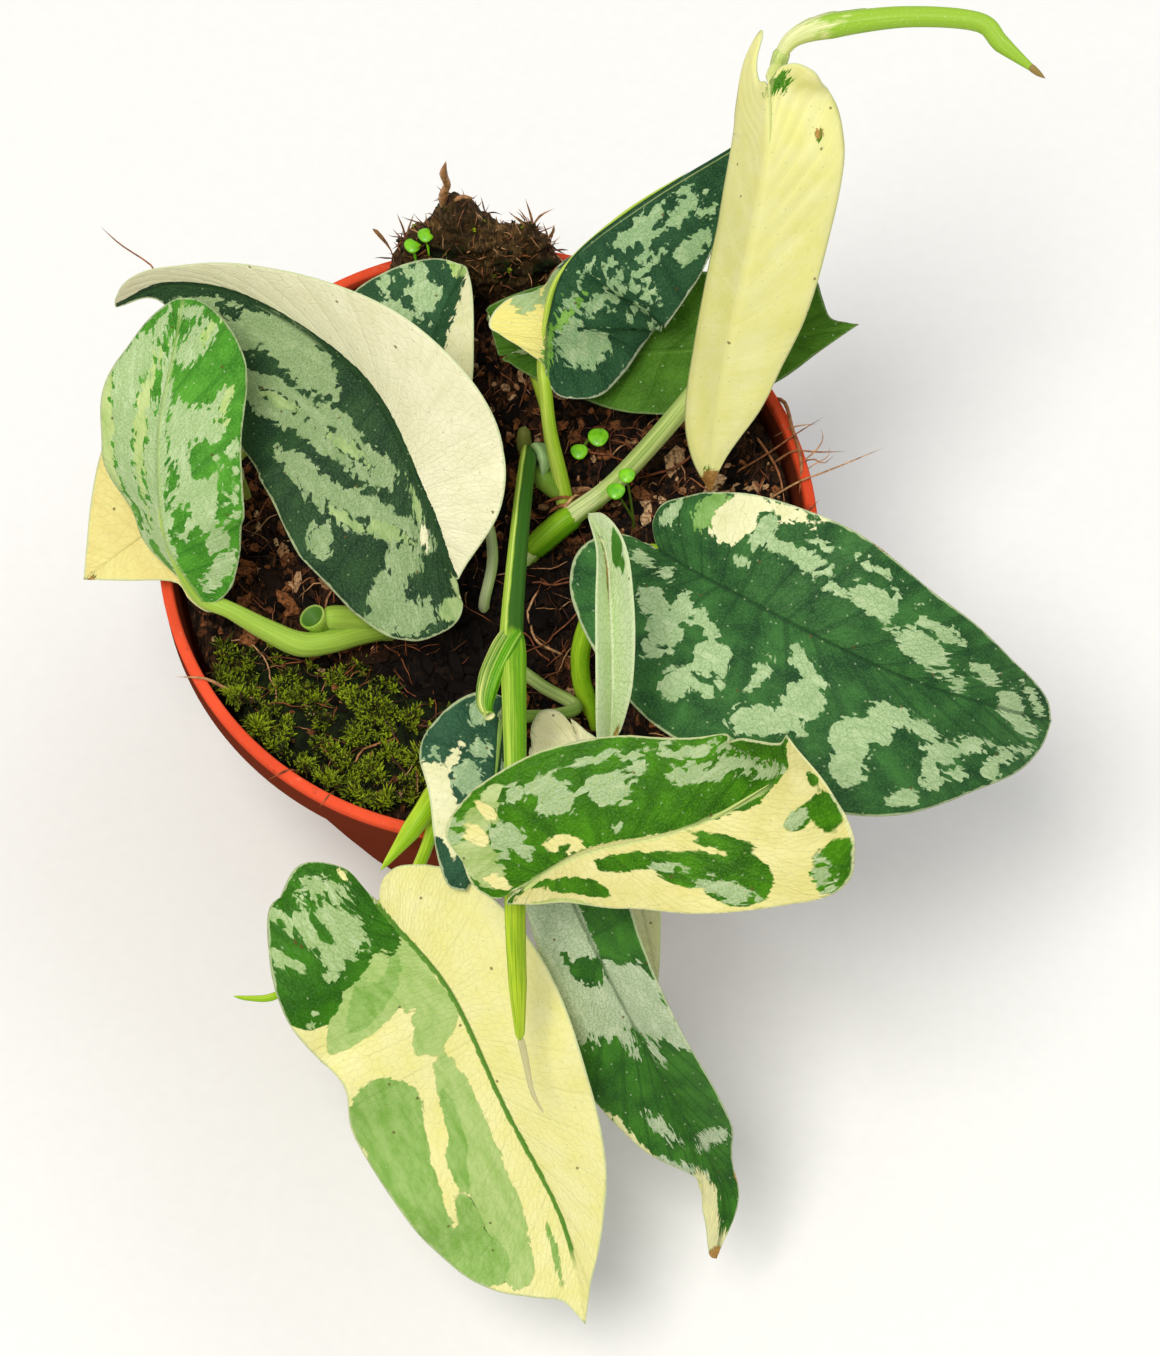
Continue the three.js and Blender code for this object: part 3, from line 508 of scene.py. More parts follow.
        stalk=[[10, -55, 86, 1.3], [10, -55, 96, 1.3], [10, -65, 107.5, 1.3], [13, -77, 110.5, 1.3]],
    ),
}
for plan in LEAVES.values():
    for key, value in PLAIN_LEAF.items():
        plan.setdefault(key, value)
print("leaf lengths in mm:", {name: round(LeafSurface(plan).length) for name, plan in LEAVES.items()})

# %% [markdown]
# ## Where the colours lie on a leaf
# Variegation is patchy: silver, cream and mid-green areas with jagged borders lie on a green ground. Each
# leaf lists its main patches as ellipses in flat leaf places, painted in order, where a later patch covers
# an earlier one. b is positive on the left half here. What is stored on the mesh is only how deep inside
# each kind of patch a point lies; the material turns that into a crisp, torn border.

# %% Patches: a kind, then each patch of it: a, b, half length, half width and, if turned, degrees
KINDS = ("silver", "cream", "mid", "pale", "brown")
BORDER = 6.0

PATCHES = {
    "left_folded": [
        "silver", (30, -7, 16, 6), (14, -11, 7, 2.6, -12), (44, -8, 7, 6.5), (30, -15.5, 12, 1.6),
        (4, -7, 2, 5, 20), "green", (31, -3, 4, 1.3), (35, -9.5, 5, 2.8, 8), (21, -3.5, 4, 2.4, -15),
        (56, -8, 8, 5, -8), (12, -5, 6, 3, -20), (30, -15, 5, 1.4), (20, -13, 4, 1.6, -10),
        (44, -15, 5, 1.2), "silver", (50, -12, 3, 1.2), (34, 8, 42, 10), "mid", (40, 5, 20, 1.7, -4),
        "green", (12, 7, 6, 2, 10), (20, 12, 4, 1.4), (68, 8, 5, 3.2, -20), (62, 2, 4, 1.4),
        (60, 12, 6, 1.4, -20), (68, 1.5, 3.4, 1.6), "mid", (38, 14.4, 16, 2.2, -2), "green", (50, 2, 3, 1),
        "silver", (71, -2, 2, 3), "green", (28, 4.4, 3, 0.8), "silver", (62.2, -3.8, 6.6, 3.2, -26),
        "green", (65.6, -1.2, 2.8, 1.7), "pale", (66, -7, 4.4, 1.1, -28), "mid", (49, -13, 4, 1.1),
    ],
    "left_yellow": [
        "cream", (20, 0, 60, 60), "brown", (40.6, 1, 1, 0.6),
    ],
    "left_large": [
        "silver", (86, 6.6, 16, 5), "green", (84, 4, 4, 1.4), (102, 1, 6, 1.5),
        "silver", (64, 5, 15, 4.8, -8), (60, 16.4, 15, 4.6, 4), (42, 13, 13, 5.2, 13),
        (29.6, 8.8, 8.4, 3.8, 30), "green", (66, 11.4, 12, 1, 4), "pale", (36, 11.4, 7, 1.6, 20),
        "silver", (37, 22.6, 8, 3, 6), (27, 20.4, 7, 4, 18), (19.6, 14, 8, 4.6, 45), (11, 7, 7, 3.8, 42),
        (17, 25, 4.4, 3, -10), "green", (54, 22.6, 12, 1.8, 9), (36, 18.2, 8, 1.1, 18),
        (25.6, 13.2, 6, 1, 40), (20, 8, 4, 1.1, 40), "pale", (14, 10.4, 5, 1.6, 40),
        "green", (9.4, 19.4, 8, 4.6, 8), "pale", (20, 18, 8, 1.1, 36), (11.6, 10, 6, 1.1, 52),
        "silver", (4.8, 9.2, 4.6, 3.6, 20), (-1, 15.6, 5.4, 4.4, -30), (-5.6, 11.4, 4, 5.4),
        (-4, 19.4, 3.6, 2.6, -30), "green", (0.6, 8.2, 1.4, 2.4, 10), (-2.6, 9.4, 1.3, 1.2),
        (-1.6, 3, 5.4, 1.4), (-10.2, 12, 0.9, 5, 8), "pale", (16.6, 2.2, 5, 1, -6),
        "cream", (9, 2.9, 2.4, 0.9, -10), "pale", (-8, 2.8, 2.8, 3.8), "silver", (47, 25, 6, 1.2, 3),
        "pale", (60, 16, 7, 1.2, 6),
    ],
    "left_back": [
        "silver", (26, 6, 5.5, 4, -10), (21, 11, 1.8, 7, 8), (26, 15, 3, 1.6, 20), (31, 9, 2, 4.5, -20),
        "green", (24, 9.5, 1.6, 2.8), "silver", (8, 8, 6, 4), "cream", (10, -9, 30, 4.4, 8),
        "pale", (36, 0, 2.4, 3),
    ],
    "back_centre": [
        "silver", (5, -9, 5, 6.5), (10, -5, 5, 2, -28), (17, -9.5, 7, 1.7, -30), (27, -13.6, 11, 1.1),
        (17, -3.6, 2.4, 1.3, -20), (28, -4.3, 4, 1), (31, -7, 3, 0.8), (31, -10.6, 8, 0.9, 4),
        (44, -4.5, 7, 2.2, 8), (47, -7.6, 5, 1.1, -8), (41, -12.5, 5, 1.1, 14), (55, -6.5, 5, 1.7, 12),
        (59, -10.5, 2, 1.2, 30), (51, -15, 5.5, 2.4, 10), (35, -17.6, 4, 1.2, 10), (24, -21.4, 8, 0.8, 4),
        (22, -18.6, 5, 0.7, 4), (58, -3, 3, 0.9), (16, -25, 5, 0.8), "mid", (5, -0.4, 8, 1.2, -4),
        (13, -3.4, 7, 1.1, -26), "cream", (7, 9, 12, 8.6), "pale", (14.4, 11, 3.2, 6, -24), (19, 5, 5, 2.6),
        "silver", (36, 7, 9, 3), (54, 5, 6, 2.4),
    ],
    "back_low": [
        "brown", (78, 0, 1.6, 2),
    ],
    "high_cream": [
        "cream", (40, 0, 90, 60), "green", (-1.4, -1.8, 3.4, 2, 25), "brown", (10, -11, 1.2, 1),
        (93, 0, 3.4, 2.4),
    ],
    "right_large": [
        "silver", (-4.5, 8, 2.6, 3.6, 20), "mid", (5.5, 13, 4, 5, -20), "cream", (12.6, 14.4, 5.4, 6.6, -8),
        (22, 20.6, 9, 2, 14), (15, 19, 5, 2.6, 10), "silver", (20.5, 14.5, 2.2, 4.6), (30, 13.4, 7, 2, -4),
        (35, 14.6, 2, 1.3), (33, 18, 3.2, 0.8), (40, 10.6, 3.4, 1), (19.5, 7, 1.6, 1.2),
        (47, 18.4, 4.6, 1.2, -6), (54, 16.4, 3, 0.6, -4), (49.5, 12.4, 5.6, 2.8, -6),
        (52, 9.4, 3, 0.9, -10), (64, 7.4, 7.6, 3, -8), (67, 12, 6, 1.7, -10), (71, 3.6, 4, 0.8, -10),
        (75.5, 2.4, 2.2, 1.5, -20), (82, 6.2, 4.6, 1.8, -14), (91, 1.2, 4.6, 3.4, -25),
        (96, -2.6, 5, 1.8, -8), (98, 3.6, 4.4, 1.3, -35), (-0.5, -4.6, 2.4, 1.6), (5.8, -4.2, 2, 1.8, -30),
        (8.5, -11.5, 4.2, 3.2, -35), (14.5, -9, 2.6, 4, 20), (20, -9.6, 4, 1.8, -15),
        (14.5, -16, 3.4, 4.6, 20), (25.5, -15.6, 4, 4.6, 30), (22.6, -24, 3, 4.8, -12), (15, -21.6, 2, 1.6),
        (27, -23, 2.6, 1.6), "green", (22, -19.6, 1.2, 1.6), "silver", (35.4, -13.6, 1.5, 4.2, -6),
        (43, -7.6, 6, 1.8, -28), (45.6, -14, 4.4, 4.6), (38.5, -23.6, 4.6, 3.4, 40), (44, -20, 4, 2.6),
        (29.6, -20, 1.6, 1), (56.6, -17.4, 4.2, 4.8, -10), (60, -13, 3.4, 3.4), (58, -23, 3, 4.4),
        (61.6, -9.4, 4.2, 3, 10), (69.4, -9.6, 4.6, 2, -10), (75, -13, 4.4, 2.8),
        (73.2, -18.4, 2.2, 4.2, 10), (68.4, -25.4, 4.4, 1.9, 32), (81.6, -9.8, 4.6, 1.8, 8),
        "green", (66, -16, 2, 3.4), "silver", (90.6, -10, 4.6, 1.6, 28), (87.6, -14, 2.4, 2.4, 35),
        (98, -8, 1.8, 1, 30), (80, -17, 3, 1.2, 10), "brown", (47, 23.6, 4.2, 1.0, -6),
    ],
    "centre_narrow": [
        "silver", (22, 0, 60, 40), "green", (39, -5, 3.6, 2.3, -30), (35.6, -6.4, 2.4, 0.8, -20),
        "cream", (43.4, 0.4, 0.9, 0.9), "brown", (35.4, 0.6, 4.6, 0.45), (2.6, -2.6, 0.5, 2, 60),
    ],
    "front_top": [
        "pale", (1, 15.4, 4, 6.4, -16), (-4.2, 9.4, 3.4, 6.8, 10), "silver", (-3.8, 18, 1.8, 2.8, 20),
        "green", (0.6, 20.8, 3, 1.5), "pale", (5, 19.8, 2.2, 1.5), "cream", (2.2, 17.4, 1.4, 3, 20),
        (-1.6, 14.6, 1, 3.2, 10), "green", (4.6, 14.4, 1.3, 2.2), "silver", (1.8, 11.4, 2.6, 2.8),
        "green", (4, 6, 5.4, 2.8, -10), "silver", (4.4, 5.8, 1.9, 1.5), (0.4, 7.6, 1.5, 1.2),
        "cream", (-3.4, 4, 1.2, 3, 20), (12, 3.6, 3.8, 1.9, -25), "green", (11.6, 3, 1.5, 0.7),
        "silver", (13.2, 13.4, 3.4, 4.8, 30), (8.4, 17.4, 2.4, 2.2), "green", (9.6, 14.2, 2, 1.7),
        "silver", (23.4, 11.8, 5, 3.5), "green", (18, 11.4, 1.1, 4.4, 14), (26.6, 12.4, 1, 1.3),
        "silver", (19.4, 18.4, 5, 0.9), (31, 18, 6, 0.8, -3), (4, 9.8, 2.4, 2.8), (29.4, 15.2, 3, 0.9),
        (23, 3.6, 1.1, 1), (47, 13.2, 5, 1.1, -14), (40.6, 10.8, 4.6, 2.3, -14),
        "green", (41.6, 12, 1, 0.9), "silver", (46.8, 8, 3.4, 1.7, -28), (52, 8, 4.6, 1.5, -22),
        (58.4, 4, 6, 3, -32), "green", (60.4, 4.4, 1.5, 1), (56, 4.2, 1.4, 1.1), (62.6, 2.6, 1, 0.8),
        "silver", (56, 10.6, 5, 0.7, -24), (41, 15.4, 4, 0.7, -6), "green", (49.6, 6.4, 1.2, 0.9),
        "cream", (38, -13, 50, 13, -6), (60, -10.2, 14, 9.6, -8), (69, -3.4, 6.6, 3),
        "green", (42.6, -5.8, 6.4, 1.7, -38), (24, -4, 8.6, 2.1, -6), (36, -8.8, 8.8, 3.7, -28),
        (42.6, -14, 6.2, 5.4, -44), "silver", (39.4, -15, 5.6, 1.9, -46),
        "green", (10.4, -6.4, 7.8, 2.3, -28), (3, -1.6, 4, 0.9, -20), "mid", (5, -9, 8, 1, -30),
        "silver", (31, -6.4, 3, 0.6, -20), "green", (61.4, -12.6, 2.4, 3.8), (58.6, -9.4, 2.8, 1.9),
        "silver", (57, -9, 2, 1.7), "green", (64.6, -7.2, 1.6, 1.6), (58, -22, 3, 5.4),
        "silver", (55.8, -21.4, 1.3, 3.8, -8),
    ],
    "front_cream": [
        "cream", (30, 0, 60, 60),
    ],
    "front_small": [
        "silver", (-0.6, -4.4, 1.9, 2.2), (6.4, -3.4, 2.2, 2.4), (11, -13.4, 3.4, 1.6, 10),
        (13.6, -6, 3.8, 3.4, -12), (17, -4, 3, 2), "cream", (20, -12.4, 10, 4.4, 8),
        (10.4, -9.7, 5, 1.3, -24), "silver", (14, 4, 5, 2.6), "cream", (26, -7, 7, 3, 12),
        "green", (32.4, -8, 4, 3.4), "silver", (23, -3, 4, 1.6),
    ],
    "front_left": [
        "cream", (40, 0, 120, 90), "pale", (13.5, -14, 16, 7.4, -67), (15, -4, 14, 5, -20),
        (28, -5, 9.6, 4.4, -46), "mid", (13, -13, 11, 4.6, -64), "cream", (25.4, -12.5, 5, 1.2, -60),
        "green", (-4, -14, 12.5, 15), (3, -24, 8, 8), (3, -3, 7, 4.6, -20), "pale", (9.4, -9, 4, 2, -67),
        "silver", (-0.2, -11, 5.2, 5.2), (3.4, -15.8, 3.2, 2.2, -50), (-3, -15.8, 3.2, 2.6, 60),
        (1.6, -6.6, 3.4, 1.3, -20), (-8.4, -9.2, 5.4, 1.9, 61), (-5.4, -19.4, 2.8, 1, 54),
        (-8.4, -14.6, 2, 0.9, 50), "green", (-1.6, -13.4, 1.5, 1), "silver", (-11.4, -9.4, 3, 0.8, 70),
        (-1.6, -24, 2.4, 0.8, 50), (8.4, -27.6, 1.8, 0.9, -50), "cream", (-9.6, -4.2, 1.6, 0.9),
        "pale", (54, -9, 18, 4.2, -3), (72, -11.4, 18, 4.8, -4), (87, -12.6, 9, 4.2),
        "mid", (52, -12, 9, 1.7, -10), (60, -15, 6, 2, -12), (74, -19, 9, 3, -8), (86, -18, 8, 4.2),
        (46, -24, 11, 8.6), (60, -27, 14, 7), (74, -26, 14, 5.8), (86, -21.5, 8, 5.4, 20),
        "cream", (56, -17.8, 18, 1.5, -14), "mid", (88, -3.6, 6, 0.6),
    ],
    "front_hanging": [
        "silver", (33, 5.4, 11, 8.4), (14, -4.6, 11, 6.6), (23.6, -10, 18.6, 6.4), (35, -5, 7, 6),
        (44, 10.4, 3.6, 3.4), (47.4, 2.6, 4.6, 1.5, -4), (45, -2.8, 3.6, 1.2),
        "green", (24.4, -3.6, 3.6, 3.9), (20.6, -7, 1.5, 1.5), (32.6, 13, 2.6, 1.2),
        (17, 6.6, 7.4, 5.6, 12), "silver", (76.6, 4.4, 2.4, 4.4, 20), (79, 1, 2.6, 1.4, -30),
        (69.7, -5.6, 5.2, 1.3, 16), (80, -7.8, 9, 1.5, 34), "cream", (99, -4, 14, 2.8), (105, 0, 9, 3),
        "green", (97, 1.6, 9, 2.6, -6), "brown", (112.6, 0, 3.6, 3), (91, 4.8, 1.6, 0.9),
        "cream", (72, -12, 14, 1.2, 14),
    ],
}

# One half all cream: which side of the midrib, and how far past the midrib the green still reaches.
CREAM_HALVES = {"left_large": (-1, 1.3), "front_left": (1, -0.4)}
HALF_CRISPNESS = 0.6


def inside_patch(a, b, centre_a, centre_b, half_a, half_b, turn=0):
    """Depth inside one ellipse as 0.5 at its border, rising by 1 over BORDER millimetres."""
    turn = math.radians(turn)
    da, db = a - centre_a, b - centre_b
    u = (da * math.cos(turn) + db * math.sin(turn)) / half_a
    v = (db * math.cos(turn) - da * math.sin(turn)) / half_b
    depth = (1 - np.sqrt(u * u + v * v)) * min(half_a, half_b)
    return np.clip(0.5 + depth / BORDER, 0, 1)


def paint_fields(name, a, b):
    """Every kind's field at every point. A later patch covers the earlier ones; mid lies over pale."""
    fields = {kind: np.zeros_like(a) for kind in KINDS}
    for patch in PATCHES[name]:
        if isinstance(patch, str):
            painted = patch
            continue
        depth = inside_patch(a, b, *patch)
        for kind in KINDS:
            if kind == painted:
                fields[kind] = np.maximum(fields[kind], depth)
            elif (painted, kind) != ("mid", "pale"):
                fields[kind] = np.minimum(fields[kind], 1 - depth)
    if name in CREAM_HALVES:
        side, reach = CREAM_HALVES[name]
        depth = np.clip(0.5 + (side * b - reach) * HALF_CRISPNESS, 0, 1)
        fields["cream"] = np.maximum(fields["cream"], depth)
    return np.stack([fields[kind] for kind in KINDS], axis=1)


print("patches in all:", sum(isinstance(patch, tuple) for run in PATCHES.values() for patch in run))

# %% [markdown]
# ## Modelling a blade
# A blade could be cut from a plane or sculpted. Here it starts as one flat grid with the midrib down its
# middle: each row of the grid runs from the midrib out to the margin, like a side vein, so patterns that
# follow the rows follow the veins. The first and the last row shrink to the junction and to the tip and are
# welded. Solidify then gives the thickness, thin at the margin and fuller at the midrib.

# %% Pieces and their attributes
BLADE_THICKNESS = 0.8
ROW_STEP = 1.05
COLUMN_STEP = 1.05
ROW_CROWDING = 1.15
WELD = 0.002 * MM
PUCKER, PUCKER_SPAN = 0.1, 12
VEIN_STEP = 6.0
RIM_THINNESS, RIM_SPAN = 0.4, 2.5
# Each leaf, and each half of it, reads its own part of the patterns, so no two are alike.
LEAF_SHIFT, HALF_SHIFT = 200.0, 400.0


def new_piece(name, mesh, materials, nodes):
    """Ends a bmesh: its object sits at the origin, rides on the root and stands for the solids."""
    data = mesh_data(name, mesh)
    data.polygons.foreach_set("use_smooth", [True] * len(data.polygons))
    for material in materials:
        data.materials.append(material)
    piece = new_object(name, data)
    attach(piece, "root")
    if nodes:
        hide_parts(*nodes)
    return piece


def store_numbers(mesh, columns):
    """Writes named numbers on the points of a bmesh, where they become attributes."""
    for key, values in columns.items():
        layer = mesh.verts.layers.float.new(key)
        for point, value in zip(mesh.verts, values):
            point[layer] = value


def read_numbers(data, key):
    values = np.zeros(len(data.vertices), np.float32)
    data.attributes[key].data.foreach_get("value", values)
    return values


def store_uv(data, key, first, second):
    """A UV map whose units are millimetres on the leaf."""
    corners = np.zeros(len(data.loops), np.int32)
    data.loops.foreach_get("vertex_index", corners)
    places = np.stack([first[corners], second[corners]], axis=1).astype(np.float32)
    data.uv_layers.new(name=key).data.foreach_set("uv", places.ravel())


# %% From a flat grid to a blade
def build_blade(name, plan, order, materials):
    surface = LeafSurface(plan)
    widest = max(b for half in (plan["left"], plan["right"]) for _, b in half)
    rows = round(surface.length * ROW_CROWDING / ROW_STEP)
    columns = max(8, round(widest / COLUMN_STEP))
    mesh = bmesh.new()
    bmesh.ops.create_grid(mesh, x_segments=rows, y_segments=2 * columns, size=1)
    flat = np.array([point.co for point in mesh.verts])
    row = (flat[:, 0] + 1) / 2
    reach = np.clip(np.abs(flat[:, 1]), 0, 1)
    rib = surface.length * row**RIB_SPREAD
    a, b, span = (np.zeros(len(flat)) for _ in range(3))
    places = np.zeros((len(flat), 3))
    for side in (1, -1):
        half = flat[:, 1] * side <= TINY
        edge = surface.margin(side, row[half])
        width = np.maximum(edge[:, 1], 0)
        a[half] = rib[half] + (edge[:, 0] - rib[half]) * reach[half]
        b[half] = width * reach[half]
        span[half] = np.hypot(edge[:, 0] - rib[half], width)
        places[half] = surface.at(a[half], b[half], side)
    _, _, up = surface.frame(a)
    veins = np.sin(2 * np.pi * row * surface.length / VEIN_STEP)
    quilt = PUCKER * veins * np.sin(np.pi * reach) * np.minimum(span / PUCKER_SPAN, 1)
    places += up * quilt[:, None]
    signed = b * np.where(flat[:, 1] > 0, 1, -1)
    fields = paint_fields(name, a, signed)
    for point, place in zip(mesh.verts, places):
        point.co = Vector(place) * MM
    numbers = {"a": a, "b": signed, "row": row * surface.length, "out": reach * span}
    numbers["rim"] = (1 - reach) * span
    numbers |= {kind: fields[:, i] for i, kind in enumerate(KINDS)}
    store_numbers(mesh, numbers)
    bmesh.ops.remove_doubles(mesh, verts=mesh.verts, dist=WELD)
    bmesh.ops.dissolve_degenerate(mesh, edges=mesh.edges, dist=WELD)
    piece = new_piece(name + "_blade", mesh, materials, [name])
    data = piece.data
    shift = LEAF_SHIFT * (order + 1)
    store_uv(data, "leaf", read_numbers(data, "a") + shift, read_numbers(data, "b"))
    aside = np.where(read_numbers(data, "b") > 0, HALF_SHIFT, 0.0)
    store_uv(data, "veins", read_numbers(data, "row") + shift, read_numbers(data, "out") + aside)
    body = piece.vertex_groups.new(name="body")
    for i, rim in enumerate(read_numbers(data, "rim")):
        fullness = RIM_THINNESS + (1 - RIM_THINNESS) * min(1.0, float(rim) / RIM_SPAN)
        body.add([i], fullness, "REPLACE")
    solid = piece.modifiers.new("thickness", "SOLIDIFY")
    solid.thickness = BLADE_THICKNESS * MM
    solid.offset = -1
    solid.vertex_group = "body"
    solid.material_offset = 1
    return piece


# %% [markdown]
# ## What a satin pothos leaf looks like
# The green is a thick, finely grained skin with a satin gloss. Silver is air under that skin: pale grey-green
# patches, with the fine net of veins still showing, and borders that step from one small vein cell to the
# next. Cream is tissue with no green at all, smooth, with faint long veins. The material has the same order:
# green ground, pale and mid green, silver, cream, then the midrib, the pale margin and a few brown specks.
# The torn borders come from adding a random number for each small cell, and soft noise, to the painted
# depth.

# %% What the blade's finish reads
# Noises: the map that each one follows, its sizes along and across in millimetres, and its detail.
BLADE_NOISES = {
    "lobes": ("veins", 1.9, 3.6, 3.0),
    "streaks": ("veins", 0.7, 12.0, 3.0),
    "fine": ("leaf", 0.45, 0.45, 3.0),
    "cloudy": ("leaf", 7.0, 2.4, 4.0),
    "broad": ("leaf", 8.0, 8.0, 4.0),
}
# Cells: the map, their sizes in millimetres, and whether their middles or their edges are read. The net of
# veins is a quarter wider than the cells that tear the borders.
BLADE_CELLS = {
    "cells": ("veins", 0.95, 1.7, "F1"),
    "teeth": ("veins", 0.4, 0.6, "F1"),
    "net": ("veins", 1.1875, 2.125, "DISTANCE_TO_EDGE"),
    "dots": ("leaf", 5.3, 5.3, "F1"),
    "specks": ("leaf", 19, 19, "F1"),
}


def blade_patterns(tree):
    """The two maps of the blade, and the noises and cells that follow them, by name."""
    found = {key: add_node(tree, "UVMap", {"uv_map": key}) for key in ("leaf", "veins")}
    for key, (followed, long, wide, detail) in BLADE_NOISES.items():
        found[key] = blotches(tree, found[followed], (long, wide, 1.0), detail)
    for key, (followed, long, wide, feature) in BLADE_CELLS.items():
        scale = (1 / long, 1 / wide, 1)
        place = add_node(tree, "Mapping", None, {"Vector": found[followed], "Scale": scale})
        kind = {"voronoi_dimensions": "2D", "feature": feature}
        found[key] = add_node(tree, "TexVoronoi", kind, {"Vector": place, "Scale": 1.0})
    found["uneven"] = add_node(tree, "Math", SCALED_SUM, {0: found["fine"], 1: 0.35, 2: found["broad"]})
    grid = add_node(tree, "SeparateXYZ", None, {0: found["veins"]})
    turns = add_node(tree, "Math", PRODUCT, {0: grid.outputs[0], 1: 2 * math.pi / VEIN_STEP})
    found["wave"] = add_node(tree, "Math", {"operation": "SINE"}, {0: turns})
    return found


print("blade patterns:", len(BLADE_NOISES) + len(BLADE_CELLS))

# %% The tissues of a blade
# Each tissue's ground tone, then its covers: what each reads, from, to, strength at each end, and its tone.
TISSUES = {
    "green": ("dark", [
        ("uneven", 0.5, 0.82, 0, 1, "green"),
        # painted shade: the green darkens along the sunken grooves of the side veins
        ("wave", -1, -0.6, 0.55, 0, "dark"),
        ("fine", 0.5, 0.75, 0, 0.4, "fleck")]),
    "pale": ("pale_dark", [("cloudy", 0.36, 0.62, 0, 1, "pale")]),
    "mid": ("mid_dark", [("cloudy", 0.36, 0.62, 0, 1, "mid")]),
    "silver": ("silver_dark", [
        ("fine", 0.35, 0.6, 0, 1, "silver"),
        ("broad", 0.5, 0.7, 0, 0.6, "silver_dark"),
        ("cloudy", 0.5, 0.66, 0, 0.5, "silver_light"),
        ("net", 0, 0.1, 0.3, 0, "mid_dark")]),
    "cream": ("cream", [
        ("uneven", 0.5, 0.82, 0, 1, "cream_deep"),
        ("streaks", 0.45, 0.65, 0, 0.3, "cream_vein")]),
}


def tissue(tree, patterns, tones, kind):
    """One kind of tissue in a leaf's own tones."""
    ground, covers = TISSUES[kind]
    covers = [(patterns[key], *reading, tones[tone]) for key, *reading, tone in covers]
    return lay_over(tree, tones[ground], covers)


# %% Torn patches
CRISP = 0.02
TEARS = {"lobes": 0.55, "cells": 0.26, "teeth": 0.04}
# In the order in which the patches cover each other: which colour channel of the noises tears a kind, and
# which way. Cream and mid green share one tear, one the other way round, so no gap opens between them.
TEAR_WAYS = {"pale": (1, -1), "mid": (1, -1), "silver": (0, 1), "cream": (1, 1)}


def torn_patches(tree, patterns, tones):
    """A cover for each kind of patch: its painted depth with the tears added, crisp at its border."""
    tears = [
        (add_node(tree, "SeparateColor", None, {0: patterns[key].outputs["Color"]}), amount)
        for key, amount in TEARS.items()
    ]
    covers = []
    for kind, (channel, way) in TEAR_WAYS.items():
        depth = add_node(tree, "Attribute", {"attribute_name": kind}).outputs["Fac"]
        way = way * tones["tear" if kind == "silver" else "edge"]
        for source, amount in tears:
            inputs = {0: source.outputs[channel], 1: way * amount, 2: depth}
            depth = add_node(tree, "Math", SCALED_SUM, inputs)
        border = 0.5 + way * sum(TEARS.values()) / 2
        covers.append((depth, border - CRISP, border + CRISP, 0, 1, tissue(tree, patterns, tones, kind)))
    return covers


# %% Midrib, margin, dots and specks
RIB_FADE = 5
RIB_BLUR = 0.25


def fine_marks(tree, patterns, tones):
    """Covers that lie over all the tissues."""
    wobble = add_node(tree, "Math", SCALED_SUM, {0: patterns["lobes"], 1: 1.2, 2: -0.6})
    across = add_node(tree, "SeparateXYZ", None, {0: patterns["leaf"]}).outputs[1]
    from_rib = add_node(tree, "Math", {"operation": "ABSOLUTE"}, {0: across})
    from_rib = add_node(tree, "Math", SUM, {0: from_rib, 1: wobble})
    rim = add_node(tree, "Attribute", {"attribute_name": "rim"}).outputs["Fac"]
    from_rim = add_node(tree, "Math", SUM, {0: rim, 1: wobble})
    run = add_node(tree, "Attribute", {"attribute_name": "a"}).outputs["Fac"]
    end = tones["rib_end"]
    lasting = {0: run, 1: end - RIB_FADE, 2: end, 3: tones["rib_strength"], 4: 0}
    lasting = add_node(tree, "MapRange", None, lasting)
    brown = add_node(tree, "Attribute", {"attribute_name": "brown"}).outputs["Fac"]
    scorch = add_node(tree, "Math", SCALED_SUM, {0: patterns["fine"], 1: 0.4, 2: brown})
    dry = lay_over(tree, "#d2a35a", [(patterns["uneven"], 0.5, 0.82, 0, 1, "#7a5227")])
    half_rib = tones["rib_width"]
    return [
        (from_rib, half_rib, half_rib + RIB_BLUR, lasting, 0, tones["rib"]),
        (from_rim, 0.3, 0.55, tones["rim_strength"], 0, tones["margin"]),
        (patterns["dots"], 0.03, 0.05, 0.45, 0, tones["silver"]),
        (patterns["specks"], 0.013, 0.022, 0.75, 0, tones["speck"]),
        (scorch, 0.66, 0.74, 0, 1, dry),
    ]


# %% The blade's finish
SKIN_RELIEF = 0.13


def blade_finish(name, tones):
    """Satin leaf skin: fine grain, sunken vein lines and raised cells under a soft gloss."""
    material, tree, shader = new_material(name, 0.5, IOR=1.42, Specular_IOR_Level=0.14)
    patterns = blade_patterns(tree)
    skin = tissue(tree, patterns, tones, "green")
    skin = lay_over(tree, skin, torn_patches(tree, patterns, tones))
    skin = lay_over(tree, skin, fine_marks(tree, patterns, tones))
    groove = add_node(tree, "MapRange", None, {0: patterns["wave"], 1: -1, 2: -0.9, 3: 0, 4: 1})
    relief = add_node(tree, "Math", SCALED_SUM, {0: patterns["fine"], 1: 0.5, 2: groove})
    seams = add_node(tree, "MapRange", None, {0: patterns["net"], 1: 0, 2: 0.1, 3: 1, 4: 0})
    relief = add_node(tree, "Math", SCALED_SUM, {0: seams, 1: -0.8, 2: relief})
    finish_surface(tree, shader, skin, relief, SKIN_RELIEF, tones["relief"])
    return material


